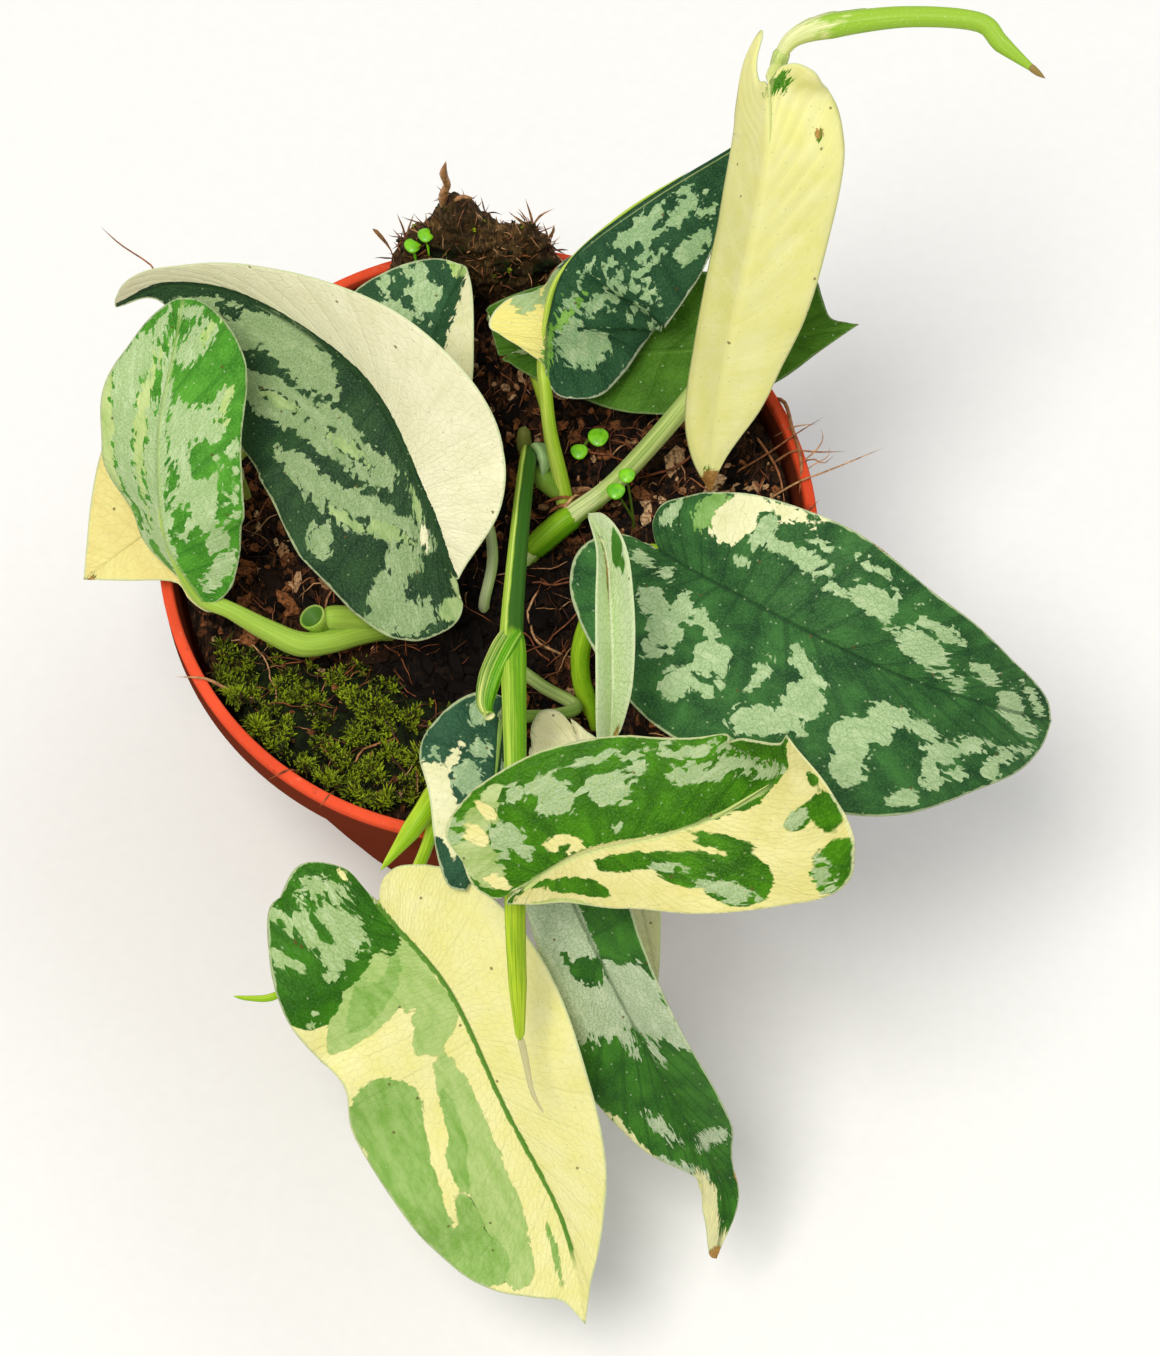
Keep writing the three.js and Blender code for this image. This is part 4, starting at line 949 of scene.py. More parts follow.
# %% The leaves' tones
TONES = {
    "dark": "#1c3f20", "green": "#2f5f2c", "fleck": "#5b8a50",
    "mid": "#b6cf82", "mid_dark": "#7fa848", "pale": "#c3d690", "pale_dark": "#a2c268",
    "silver": "#b4cb9c", "silver_dark": "#86a673", "silver_light": "#cbdcae",
    "cream": "#f1eec6", "cream_deep": "#e6e4b0", "cream_vein": "#d3d79a",
    "rib": "#27502a", "rib_strength": 0.5, "rib_width": 0.3, "rib_end": 200, "tear": 1.0, "edge": 1.0,
    "relief": 0.7, "margin": "#cbd8a6", "rim_strength": 0.7, "speck": "#5c4a22",
}
LEAF_TONES = {
    "left_folded": dict(dark="#33761c", green="#56a02e", fleck="#82b856", silver="#b8ce9a",
        silver_dark="#8fb26e", mid="#c3d58c", mid_dark="#abc576", rib="#a9c66e"),
    "left_yellow": dict(cream="#f0e696", cream_deep="#ead98a", cream_vein="#dccb74", speck="#3d3a20",
        rib="#d9d07c", rib_strength=0.3),
    "left_large": dict(dark="#1b3521", green="#2d4c29", silver="#9db283", silver_dark="#74905e",
        cream="#f8f4d0", cream_deep="#efebc2", cream_vein="#dadcae", rib="#31502c", rib_strength=0.7,
        pale="#a9c080", pale_dark="#8ba867", silver_light="#b3c596", tear=0.85, edge=0.5),
    "left_back": dict(dark="#23442c", green="#2f5835"),
    "back_centre": dict(dark="#1d4029", green="#31593a", silver="#a5c192", silver_dark="#7fa574",
        margin="#dfe8c8", cream="#f1e78e", cream_deep="#ece07c", mid="#8fbf5c", mid_dark="#6da03e",
        pale="#b3c992", pale_dark="#93b06c", rib="#1c3d24", edge=0.7),
    "back_low": dict(dark="#36600f", green="#4c7a1e", fleck="#5f8d2c", rib="#5a8a2a", rim_strength=0.2),
    "high_cream": dict(cream="#eeecab", cream_deep="#e8e594", cream_vein="#e4e28e", relief=0.2, rib="#e2e18c",
        rib_strength=0.35),
    "right_large": dict(dark="#1e4423", green="#3d7034", silver="#b4ca99", silver_dark="#8dad77",
        mid="#8fb868", mid_dark="#6f9d49", rib="#1f4222", rib_strength=0.6, cream="#f5f2c8", tear=0.88),
    "centre_narrow": dict(silver="#d8e6bb", silver_dark="#bcd296", mid_dark="#8dbc58",
        cream="#f4efc6", green="#4f8a2c", dark="#3a7318", rib="#e6edc8", rib_strength=0.35,
        silver_light="#e0ebc6", tear=0.25),
    "front_top": dict(dark="#265803", green="#468506", fleck="#6fa436", silver="#adc292",
        silver_dark="#87a36a", silver_light="#c3d2a4", edge=0.32, cream="#ebe4a2", cream_deep="#dfd788",
        cream_vein="#cbca7a", margin="#dfe3ac", tear=0.8, rib_end=58, mid="#cdd98a", mid_dark="#b0c568",
        pale="#b9c987", pale_dark="#93ad5c", rib="#c9d98a", rib_strength=0.65, rib_width=0.35),
    "front_cream": dict(cream="#f1ebc2", cream_deep="#e8e2ae", rib_strength=0.1),
    "front_small": dict(dark="#1e4430", green="#30593f", silver="#a4bd93", silver_dark="#7f9f76", edge=0.5),
    "front_left": dict(dark="#245606", green="#3c7c0c", silver="#b0c68e", silver_dark="#8cac66",
        mid="#9cbe6a", mid_dark="#7fab4b", pale="#b6cd80", pale_dark="#9fbf68", cream="#f1ecac",
        cream_deep="#eae592", cream_vein="#e6e398", rib="#4f8a22", rib_strength=0.95, rib_width=0.45,
        rib_end=94, tear=0.9, edge=0.35),
    "front_hanging": dict(dark="#245419", green="#428024", silver="#c6d4b0", silver_dark="#98ae88", edge=0.5,
        silver_light="#d8e2c2", cream="#f2ecaa", rib="#2f5a22", tear=0.85),
}
UNDERSIDE = dict(dark="#7f9b5c", green="#94ad6c", fleck="#a5bb80", silver="#b3c494", silver_dark="#9fb37f",
    mid="#b7c98c", mid_dark="#a3b974", cream="#ecebac", cream_deep="#e5e49c", cream_vein="#dcdc8e",
    rib="#b4c48a", rib_strength=0.6, margin="#e0e3b4")
# Two leaves show their undersides: one hangs turned to the front and is cream there too, one is smooth.
UNDERSIDES = {
    "high_cream": dict(cream="#eeebaa", cream_deep="#e7e48e", cream_vein="#e2df84", rib="#e3e292",
        rib_strength=0.3, relief=0.2, dark="#2f6a0c", green="#4f8f16", margin="#d6da9a"),
    "left_large": dict(relief=0.3),
}

underside = blade_finish("pale leaf underside", TONES | UNDERSIDE)
for order, (name, plan) in enumerate(LEAVES.items()):
    upper = blade_finish("satin leaf skin, " + name.replace("_", " "), TONES | LEAF_TONES[name])
    lower = underside
    if name in UNDERSIDES:
        tones = TONES | UNDERSIDE | UNDERSIDES[name]
        lower = blade_finish("cream leaf underside, " + name.replace("_", " "), tones)
    piece = build_blade(name, plan, order, [upper, lower])
    print(piece.name, "points:", len(piece.data.vertices))

# %% [markdown]
# ## Stalks and stems
# Stalks, stems and roots are all the same form: a round tube that follows a route and changes its radius.
# A curve object with a bevel would make one too, but here the tube is a flat grid that is rolled round the
# route, because its points can then carry how far along and how far round they lie. The seam is welded, and
# each end shrinks to a point, so the tube is closed.

# %% Rolling a grid round a route
TUBE_SIDES = 16
TUBE_STEP, FIBRE_STEP = 1.6, 1.9
END_ROUNDING = (0.0, 0.55, 0.86)
START_SIDE = (1, 0.1, 0.05)


def route_frames(route, shares):
    """Centres, radii and two crosswise directions, carried along the route without twisting."""
    route = np.array(route, float)
    centres, tangents = smooth_curve(route[:, :3], shares)
    tangents = unit(tangents)
    radii = np.interp(shares * (len(route) - 1), np.arange(len(route)), route[:, 3])
    side = np.array(START_SIDE)
    sides = []
    for tangent in tangents:
        side = side - tangent * side.dot(tangent)
        side = side / np.linalg.norm(side)
        sides.append(side)
    sides = np.array(sides)
    return centres, radii, sides, np.cross(tangents, sides)


def add_tube(mesh, layers, route, sides=TUBE_SIDES, step=TUBE_STEP, profile=None, tint=0.0):
    """Adds one closed tube to a bmesh. profile(angle, share) scales the radius round the tube."""
    route = np.array(route, float)
    length = np.linalg.norm(np.diff(route[:, :3], axis=0), axis=1).sum()
    rings = max(6, round(length / step))
    made = bmesh.ops.create_grid(mesh, x_segments=rings, y_segments=sides, size=1)["verts"]
    flat = np.array([point.co for point in made])
    share = (flat[:, 0] + 1) / 2
    angle = flat[:, 1] * np.pi
    stations = np.linspace(0, 1, rings + 1)
    centres, radii, across, upward = route_frames(route, stations)
    ring = np.rint(share * rings).astype(int)
    from_end = np.minimum(ring, rings - ring)
    taper = np.where(from_end < len(END_ROUNDING), np.take(END_ROUNDING, from_end, mode="clip"), 1.0)
    radius = radii[ring] * taper
    if profile:
        radius = radius * profile(angle, share)
    offset = across[ring] * np.cos(angle)[:, None] + upward[ring] * np.sin(angle)[:, None]
    places = centres[ring] + offset * radius[:, None]
    for point, place, s, turn in zip(made, places, share, angle):
        point.co = Vector(place) * MM
        point[layers["along"]] = s * length
        point[layers["round_x"]] = math.cos(turn)
        point[layers["round_y"]] = math.sin(turn)
        point[layers["tint"]] = tint
    return made


TUBE_KEYS = ("along", "round_x", "round_y", "tint")


def tube_mesh():
    mesh = bmesh.new()
    return mesh, {key: mesh.verts.layers.float.new(key) for key in TUBE_KEYS}


def add_fibre(mesh, layers, fibre):
    route, sides, tint = fibre
    add_tube(mesh, layers, route, sides=sides, step=FIBRE_STEP, tint=tint)


def in_batches(items, add, keys, batch=40):
    """One bmesh of many small shapes. An operator gets slow in a big mesh, so it fills small ones."""
    whole = bmesh.new()
    for key in keys:
        whole.verts.layers.float.new(key)
    items = list(items)
    for start in range(0, len(items), batch):
        part = bmesh.new()
        layers = {key: part.verts.layers.float.new(key) for key in keys}
        for item in items[start : start + batch]:
            add(part, layers, item)
        data = mesh_data("batch", part)
        whole.from_mesh(data)
        bpy.data.meshes.remove(data)
    return whole


def close_seams(mesh):
    """Welds what meets, drops faces that shrank to nothing, and turns the rest outwards."""
    bmesh.ops.remove_doubles(mesh, verts=mesh.verts, dist=WELD)
    bmesh.ops.dissolve_degenerate(mesh, edges=mesh.edges, dist=WELD)
    bmesh.ops.recalc_face_normals(mesh, faces=mesh.faces)


# %% [markdown]
# ## A stem's finish
# A pothos stem is smooth and juicy, striped lengthwise: yellow-green ribs, a darker green side and fine pale
# lines. Tiny pale pores are scattered over it. The stripes read how far round the tube a point lies.

# %% Stem finish
def stem_finish(name, light, middle, dark, stripe=0.5, inner="#8a6a32", half_dark=None, later=None):
    """half_dark: a dark colour for the right flank, and how far along it reaches in millimetres.
    later: the colour further along, and from where."""
    material, tree, shader = new_material(name, 0.42, IOR=1.43, Specular_IOR_Level=0.2)
    along_stem, turn_x, turn_y, tint = (
        add_node(tree, "Attribute", {"attribute_name": key}).outputs["Fac"] for key in TUBE_KEYS
    )
    around = add_node(tree, "CombineXYZ", None, {0: turn_x, 1: turn_y, 2: along_stem})
    lines = blotches(tree, around, (0.16, 0.16, 22.0), detail=3.0)
    mottle = blotches(tree, around, (0.7, 0.7, 5.0), detail=4.0)
    pores = add_node(tree, "Mapping", None, {"Vector": around, "Scale": (2.2, 2.2, 0.9)})
    pores = add_node(tree, "TexVoronoi", None, {"Vector": pores, "Scale": 2.2})
    sideways = add_node(tree, "Math", SCALED_SUM, {0: turn_x, 1: 0.42, 2: 0.5})
    wavering = add_node(tree, "Math", SCALED_SUM, {0: mottle, 1: 0.5, 2: -0.25})
    flank = add_node(tree, "Math", SUM, {0: sideways, 1: wavering})
    covers = [(flank, 0.35, 0.72, 0, 1, middle)]
    if later:
        grown, start = later
        further = add_node(tree, "Math", SCALED_SUM, {0: mottle, 1: 24.0, 2: along_stem})
        covers.append((further, start + 10, start + 14, 0, 1, grown))
    covers += [
        (lines, 0.45, 0.6, 0, stripe, dark),
        (lines, 0.28, 0.4, stripe, 0, light),
        (pores, 0.1, 0.2, 0.5, 0, light),
    ]
    if half_dark:
        deep, limit = half_dark
        early = add_node(tree, "MapRange", None, {0: along_stem, 1: limit - 6, 2: limit, 3: 0.92, 4: 0.12})
        faint = add_node(tree, "Math", PRODUCT, {0: early, 1: 0.6})
        right = add_node(tree, "Math", SCALED_SUM, {0: mottle, 1: 0.25, 2: turn_x})
        seam = add_node(tree, "Math", SUM, {0: turn_x, 1: 0.3})
        seam = add_node(tree, "Math", {"operation": "ABSOLUTE"}, {0: seam})
        covers += [(right, -0.1, 0.05, 0, early, deep), (seam, 0.03, 0.08, faint, 0, "#dfe68e")]
    covers.append((tint, 0, 1, 0, 1, inner))
    finish_surface(tree, shader, lay_over(tree, light, covers), lines, 0.12, 0.5)
    return material


STEM_TONES = {
    "left_folded": ("#bfd56c", "#a3c44a", "#6f982a"),
    "left_yellow": ("#d6dc7a", "#b7c95a", "#8fae3c"),
    "left_large": ("#b9d15a", "#8fb52e", "#4f7a16"),
    "left_back": ("#dde8b4", "#b6cd80", "#5f8a34"),
    "back_centre": ("#c6dc5c", "#9abf2c", "#5f8a12"),
    "back_low": ("#a8c23c", "#7da01e", "#4b6f10"),
    "high_cream": ("#dfe39a", "#cfd682", "#a9bf4f"),
    "right_large": ("#a6d02a", "#78ac0e", "#467c08"),
    "centre_narrow": ("#d3dca0", "#b4c97c", "#86a84e"),
    "front_top": ("#cfdc86", "#a6c24e", "#6f9a22"),
    "front_cream": ("#dbe08a", "#b8cb4c", "#86a52c"),
    "front_small": ("#b9cf7a", "#86a84a", "#3f6a24"),
    "front_left": ("#c3e03c", "#93bf1e", "#5f9410"),
    "front_hanging": ("#c0da44", "#93b92a", "#5a8a1c"),
}
RIB_SHARES = (0, 0.12, 0.3, 0.55, 0.8)
RIB_TAPERS = (1, 0.7, 0.42, 0.24, 0.12)
RIB_SUNK, RIB_DEPTH = 0.9, 0.4
CUP_SEGMENTS = 24


def rib_route(plan):
    """The stalk, and the rib that it becomes under the midrib. A plan's own rib value thins the rib."""
    surface = LeafSurface(plan)
    radius = plan["stalk"][-1][3] * plan.get("rib", 1)
    spot, _, up = surface.frame(surface.length * np.array(RIB_SHARES))
    thin = radius * np.array(RIB_TAPERS)
    low = spot - up * (thin * RIB_SUNK + RIB_DEPTH)[:, None]
    return [*plan["stalk"], *np.column_stack([low, thin]).tolist()]


def turn_profile(mesh, points, segments):
    """Joins points into a profile and spins it round the upright axis into a closed form."""
    chain = [mesh.edges.new(pair) for pair in zip(points, points[1:])]
    bmesh.ops.spin(mesh, geom=points + chain, cent=(0, 0, 0), axis=UP, angle=2 * math.pi,
        steps=segments, use_merge=True)


def add_cup(mesh, layers, mouth, way, radius, depth):
    """The open end of a sheath: a turned cup with a thin lip, darker inside."""
    before = set(mesh.verts)
    outside = [(0, -depth), (0.8 * radius, -depth), (radius, -0.3), (0.97 * radius, 0)]
    inside = [(0.8 * radius, -0.2), (0.55 * radius, -0.7 * depth), (0, -0.75 * depth)]
    points = [mesh.verts.new(Vector((r, 0, z)) * MM) for r, z in outside + inside]
    for point in points[len(outside) :]:
        point[layers["tint"]] = 1.0
    turn_profile(mesh, points, CUP_SEGMENTS)
    stand = Matrix.LocRotScale(Vector(mouth) * MM, Vector(way).to_track_quat("Z", "Y"), None)
    for point in set(mesh.verts) - before:
        point[layers["round_x"]] = point.co.x / MM / radius
        point[layers["round_y"]] = point.co.y / MM / radius
        point.co = stand @ point.co


# Sheaths that clasp a stalk: a strap of tube, and the cup of one that stands open.
SHEATHS = {
    "left_folded": [[[-26, -21.6, 100, 2.4], [-29.5, -21.4, 103.6, 2.8], [-34, -22, 106.2, 2.8],
        [-37.4, -22.6, 107, 2.3]]],
    "back_centre": [[[17.4, 9.4, 101.5, 1.4], [15.4, 11.4, 104, 2.6], [12.6, 13, 106.3, 2.7],
        [10.2, 15.4, 108.4, 0.8]]],
    "right_large": [[[24.5, -43, 95, 1.6], [21.8, -38, 101, 2.2], [20.6, -34, 105, 1.9],
        [20.2, -30, 109, 0.7]]],
}
CUPS = {"left_folded": ([-39.2, -22.9, 108.9], [-0.42, 0.16, 0.89], 3.1, 4.2)}
SHEATH_INSIDE = "#4f7a2a"
SHEATH_TINTS = {"back_centre": 0.7}

for name, plan in LEAVES.items():
    mesh, layers = tube_mesh()
    add_tube(mesh, layers, rib_route(plan))
    for spur in plan["spurs"]:
        add_tube(mesh, layers, spur, sides=12, step=0.8)
    for sheath in SHEATHS.get(name, []):
        add_tube(mesh, layers, sheath, sides=24, step=0.8, tint=SHEATH_TINTS.get(name, 0))
    if name in CUPS:
        add_cup(mesh, layers, *CUPS[name])
    close_seams(mesh)
    skin = stem_finish("smooth stalk skin, " + name.replace("_", " "), *STEM_TONES[name],
        stripe=0.4, inner=SHEATH_INSIDE)
    piece = new_piece(name + "_stalk", mesh, [skin], [name])
    print(piece.name, "points:", len(piece.data.vertices))

# %% [markdown]
# ## The two vines
# The front vine arches over the pot's front. It isn't round: it has flat flanks and raised ribs, so its
# radius changes round the tube. At its node a strap-like sheath curls to the left, and its tip carries a
# dry, see-through bud sheath. The back vine leans right and ends in a young leaf that is still rolled.

# %% Vines
FRONT_VINE = [[9, 19, 86, 1.8], [9, 19.5, 98, 1.8], [9, 17, 110, 1.8], [7.5, -8, 125, 2],
    [6, -36, 134.5, 2.4], [6.3, -45, 136.3, 2.8], [7, -71, 137.5, 2.3], [7, -98.5, 128, 2.2],
    [7.5, -112, 116, 1.9], [8, -121, 105, 0.9]]
DRY_TAIL = [[8, -120, 106, 0.8], [9.2, -124.5, 101.5, 0.7], [10.6, -130, 97.5, 0.5], [13, -134, 95, 0.2]]
NODE_SHEATH = [[7, -38.5, 135.8, 2.6], [4.6, -43.5, 137.6, 2.9], [1.8, -50, 137.2, 2.7],
    [0.6, -55, 135.6, 2.1], [1.2, -58, 134.8, 1.2]]
SHEATH_CURL = ([1.6, -58.4, 134.9], [0.35, -1, 0.3], 1.3, 1.6)
CROWN_FLAP = [[9.5, 19.5, 108, 0.8], [11.4, 19, 110.2, 1.7], [12.9, 16, 110, 2.2], [12.2, 12, 108.2, 0.5]]
OLD_STUMP = [[8.4, 19, 103, 1.6], [8, 21.4, 107.4, 1.8], [8, 23.2, 109.4, 1.5], [8.3, 24.2, 110.6, 0.6]]
NODE_AT = 90
BACK_VINE = [[8.7, -2, 86, 2.4], [8.7, -2, 96, 2.4], [18.5, 5, 102, 2.5], [29.3, 12, 107, 2.2],
    [45.5, 23, 126, 2.2], [56, 33, 140, 2.1], [65, 48, 160, 2], [66, 60, 176, 1.9],
    [63.2, 68.5, 186, 1.8], [64, 72, 192, 1.8]]
ROLLED_TIP = [[115, 64.9, 197, 0.95], [117, 63.3, 196.3, 0.75], [119, 61.9, 195.7, 0.3]]
BACK_SHEATH = [[8.7, -2, 97, 2.5], [12, 0.4, 99.4, 2.9], [16, 3.4, 101.2, 3.0], [18.4, 5, 102, 2.9],
    [19.8, 6, 102.7, 2.3]]
ROLLED_LEAF = [[63.4, 71, 190.5, 1.3], [66.6, 73.4, 193.8, 1.9], [74, 75, 196, 2.9], [90, 76, 198, 2.4],
    [105, 74, 199, 2.2], [110, 69, 198, 2], [118, 62.6, 196, 0.4]]


def ribbed(angle, share):
    return 1 + 0.07 * np.cos(3 * angle) + 0.035 * np.cos(9 * angle + 1)


def strap(angle, share):
    """A flattened tube with fine ribs."""
    return np.sqrt(np.cos(angle) ** 2 + 0.32 * np.sin(angle) ** 2) * (1 + 0.04 * np.cos(14 * angle))


def rolled(angle, share):
    """A leaf wound on itself: one edge laps over the other in a long spiral."""
    lap = (angle + 2.2 * share + np.pi) % (2 * np.pi) / (2 * np.pi)
    return 0.86 + 0.22 * lap


def vine_piece(name, node, skin, tubes, cup=None):
    """One piece of a vine: tubes, each a route and how it is rolled, and perhaps a cup."""
    mesh, layers = tube_mesh()
    for route, rolling in tubes:
        add_tube(mesh, layers, route, **rolling)
    if cup:
        add_cup(mesh, layers, *cup)
    close_seams(mesh)
    piece = new_piece(name, mesh, [skin], [node])
    print(piece.name, "points:", len(piece.data.vertices))


# %% The front vine
vine_skin = stem_finish("ribbed vine skin", "#b2d04a", "#77b214", "#4f8a0a", stripe=0.6,
    half_dark=("#28581a", NODE_AT), later=("#bdd72e", 138))
vine_piece("front_vine_stem", "front_vine", vine_skin, [(FRONT_VINE, dict(sides=36, step=1, profile=ribbed))])
sheath_skin = stem_finish("striped sheath skin", "#d5e07c", "#62a412", "#3f7a0c", stripe=0.9, inner="#f0edb8")
vine_piece("node_sheath", "front_vine", sheath_skin, [(NODE_SHEATH, dict(sides=36, step=0.6, profile=strap))],
    cup=SHEATH_CURL)
flap_skin = stem_finish("pale sheath skin", "#a9c78a", "#86ab66", "#4f8030", stripe=0.5, inner="#6a6a26")
vine_piece("crown_flap", "front_vine", flap_skin, [
    (CROWN_FLAP, dict(sides=24, step=0.6, profile=strap)),
    (OLD_STUMP, dict(sides=16, step=0.8, tint=0.9))])
# Dry papery sheath: thin enough to see through, with long fibres.
tail_skin, tail_tree, tail_shader = new_material("dry bud sheath", 0.45, Alpha=0.55)
around = add_node(tail_tree, "TexCoord").outputs["Object"]
fibres = blotches(tail_tree, around, (0.0006, 0.003, 0.003))
papery = lay_over(tail_tree, "#d9d6a8", [(fibres, 0, 1, 0, 1, "#b3a878")])
finish_surface(tail_tree, tail_shader, papery, fibres, 0.1, 0.5)
vine_piece("front_vine_tail", "front_vine", tail_skin, [(DRY_TAIL, dict(sides=14, step=0.5, profile=strap))])

# %% The back vine
back_skin = stem_finish("young vine skin", "#dbe5a0", "#90b83a", "#4a850f", stripe=0.5, later=("#cbdc84", 46))
vine_piece("back_vine_stem", "back_vine", back_skin, [(BACK_VINE, dict(sides=24, step=1.2, profile=ribbed))])
clasp_skin = stem_finish("fresh sheath skin", "#8fbe22", "#5f9a0e", "#3f7a0a", stripe=0.5)
vine_piece("back_vine_sheath", "back_vine", clasp_skin, [
    (BACK_SHEATH, dict(sides=24, step=0.6, profile=ribbed))])
young_skin = stem_finish("rolled young leaf skin", "#eef0b0", "#dfe78a", "#8fae3a", stripe=0.4,
    later=("#9ac43a", 20))
vine_piece("rolled_young_leaf", "back_vine", young_skin, [
    (ROLLED_LEAF, dict(sides=40, step=0.8, profile=rolled)),
    (ROLLED_TIP, dict(sides=12, step=0.6, tint=0.9))])

# %% [markdown]
# ## The nursery pot
# A thin polypropylene pot, moulded in one piece: a tapered wall with a stepped, thicker lip and holes in its
# floor. A turned form like this is quickest as a profile spun round the axis. The holes are cut afterwards
# with a Boolean, as the mould's pins would leave them.

# %% Pot
RIM_RADIUS, POT_HEIGHT, BASE_RADIUS, WALL, FLOOR = 75, 105, 50, 1.3, 2
LIP_HEIGHT, LIP_WIDTH, LIP_STEP = 11, 2.6, 2.2
LIP_FOOT = POT_HEIGHT - LIP_HEIGHT
DRAINS, DRAIN_RADIUS, DRAIN_CIRCLE = 6, 4, 34
FOOT_ROUND, STEP_ROUND, LIP_ROUND = 1, 0.7, 0.8
POT_SEGMENTS = 160


def wall_radius(z):
    return BASE_RADIUS + (RIM_RADIUS - LIP_STEP - BASE_RADIUS) * z / LIP_FOOT


def rounded(centre, radius, start, end, steps=5):
    """Points on an arc of the profile, in degrees, for a moulded edge."""
    turns = np.radians(np.linspace(start, end, steps))
    return [(centre[0] + radius * math.cos(t), centre[1] + radius * math.sin(t)) for t in turns]


pot_profile = [
    (0, 0),
    (BASE_RADIUS - 1.2, 0),
    *rounded((BASE_RADIUS - FOOT_ROUND, FOOT_ROUND), FOOT_ROUND, -80, 0),
    *[(wall_radius(z), z) for z in (20, 45, 70, LIP_FOOT - 0.4)],
    *rounded((RIM_RADIUS - STEP_ROUND, LIP_FOOT + STEP_ROUND), STEP_ROUND, -80, 0),
    *rounded((RIM_RADIUS - LIP_ROUND, POT_HEIGHT - LIP_ROUND), LIP_ROUND, 0, 90),
    *rounded((RIM_RADIUS - LIP_WIDTH + LIP_ROUND, POT_HEIGHT - LIP_ROUND), LIP_ROUND, 90, 180),
    (wall_radius(LIP_FOOT) - WALL, LIP_FOOT),
    (BASE_RADIUS - WALL, FLOOR),
    (0, FLOOR),
]
pot_mesh = bmesh.new()
turn_profile(pot_mesh, [pot_mesh.verts.new(Vector((r, 0, z)) * MM) for r, z in pot_profile], POT_SEGMENTS)
bmesh.ops.remove_doubles(pot_mesh, verts=pot_mesh.verts, dist=WELD)
bmesh.ops.recalc_face_normals(pot_mesh, faces=pot_mesh.faces)
print("pot faces:", len(pot_mesh.faces))


def plastic_finish(name, bright, worn):
    """Moulded polypropylene: semi-matt, faintly streaked by the mould, with dust and soil low down, and
    painted shade: the wall below the rim's top is painted dark brown.
    """
    material, tree, shader = new_material(name, 0.5, IOR=1.45, Specular_IOR_Level=0.0)
    place = add_node(tree, "TexCoord").outputs["Object"]
    sheer = blotches(tree, place, (0.03, 0.03, 0.012))
    scuffs = blotches(tree, place, (0.002, 0.002, 0.0008), detail=6.0)
    dirt = blotches(tree, place, (0.005, 0.005, 0.005), detail=5.0)
    height = add_node(tree, "SeparateXYZ", None, {0: place}).outputs[2]
    low = add_node(tree, "MapRange", None, {0: height, 1: 0, 2: 0.05, 3: 0.08, 4: 0})
    dusty = add_node(tree, "Math", SUM, {0: dirt, 1: low})
    skin = lay_over(tree, bright, [
        (sheer, 0.35, 0.7, 0, 1, worn),
        (scuffs, 0.6, 0.75, 0, 0.35, "#e79c86"),
        # painted shade: below the rim's top the wall and lip get a dark brown
        (height, (POT_HEIGHT - 2.6) * MM, (POT_HEIGHT - 1.6) * MM, 1, 0, "#70301f"),
        (dusty, 0.62, 0.72, 0, 0.6, "#5c3020"),
    ])
    finish_surface(tree, shader, skin, scuffs, 0.05, 0.4)
    return material


def cut_drains(piece):
    mesh = bmesh.new()
    for i in range(DRAINS):
        turn = 2 * math.pi * i / DRAINS
        spot = Vector((DRAIN_CIRCLE * math.cos(turn), DRAIN_CIRCLE * math.sin(turn), FLOOR / 2)) * MM
        bmesh.ops.create_cone(mesh, cap_ends=True, segments=32, radius1=DRAIN_RADIUS * MM,
            radius2=DRAIN_RADIUS * MM, depth=3 * FLOOR * MM, matrix=Matrix.Translation(spot))
    drills = new_object("drain_drills", mesh_data("drain_drills", mesh))
    cut = piece.modifiers.new("drains", "BOOLEAN")
    cut.operation = "DIFFERENCE"
    cut.object = drills
    cut.solver = "EXACT"
    graph = bpy.context.evaluated_depsgraph_get()
    piece.data = bpy.data.meshes.new_from_object(piece.evaluated_get(graph))
    piece.modifiers.clear()
    bpy.data.objects.remove(drills)


terracotta_plastic = plastic_finish("orange-red moulded polypropylene", "#f55c3a", "#d24a2c")
pot = new_piece("nursery_pot", pot_mesh, [terracotta_plastic], ["pot"])
cut_drains(pot)
pot.data.shade_smooth()
edges = pot.modifiers.new("edge shading", "WEIGHTED_NORMAL")
edges.keep_sharp = True
print("pot points:", len(pot.data.vertices))

# %% [markdown]
# ## The potting mix
# The mix is one solid body with a waved top. On the real one its surface is all loose stuff: bark chips,
# coir fibres, fine crumbs and, at the front left, a cushion of moss. The body gets its low waves and a fine
# crumble as real relief; chips, fibres and moss are pieces of their own that lie on it.

# %% The lie of the mix
SOIL_LEVEL, SOIL_RISE, SOIL_RELIEF, SOIL_EDGE, GAP = 95.5, 4, 1.2, 92, 0.35
MOSS_CENTRE, MOSS_HALF = (-39, -50), (30, 25)
# painted shade: the crown's shade on the mix is a turned ellipse, given as its middle, half sizes and turn
CROWN_SHADE_MIDDLE, CROWN_SHADE_HALF, CROWN_SHADE_TURN = (-2, -22), (36, 20), math.radians(35)
MOSS_LIFT = 1.6


def smoothstep(value, low, high):
    t = np.clip((value - low) / (high - low), 0, 1)
    return t * t * (3 - 2 * t)


def moss_share(x, y):
    """1 in the middle of the moss cushion and 0 outside it."""
    u, v = (x - MOSS_CENTRE[0]) / MOSS_HALF[0], (y - MOSS_CENTRE[1]) / MOSS_HALF[1]
    lobes = 1 + 0.16 * np.sin(3 * np.arctan2(v, u) + 1) + 0.1 * np.sin(7 * np.arctan2(v, u))
    return smoothstep(-np.hypot(u, v) / lobes, -1.1, -0.75)


def crown_shade_share(x, y):
    """1 where the crown's painted shade lies on the mix, and 0 outside."""
    right, back = x - CROWN_SHADE_MIDDLE[0], y - CROWN_SHADE_MIDDLE[1]
    u = (right * math.cos(CROWN_SHADE_TURN) + back * math.sin(CROWN_SHADE_TURN)) / CROWN_SHADE_HALF[0]
    v = (back * math.cos(CROWN_SHADE_TURN) - right * math.sin(CROWN_SHADE_TURN)) / CROWN_SHADE_HALF[1]
    return smoothstep(-np.hypot(u, v), -1.2, -0.5)


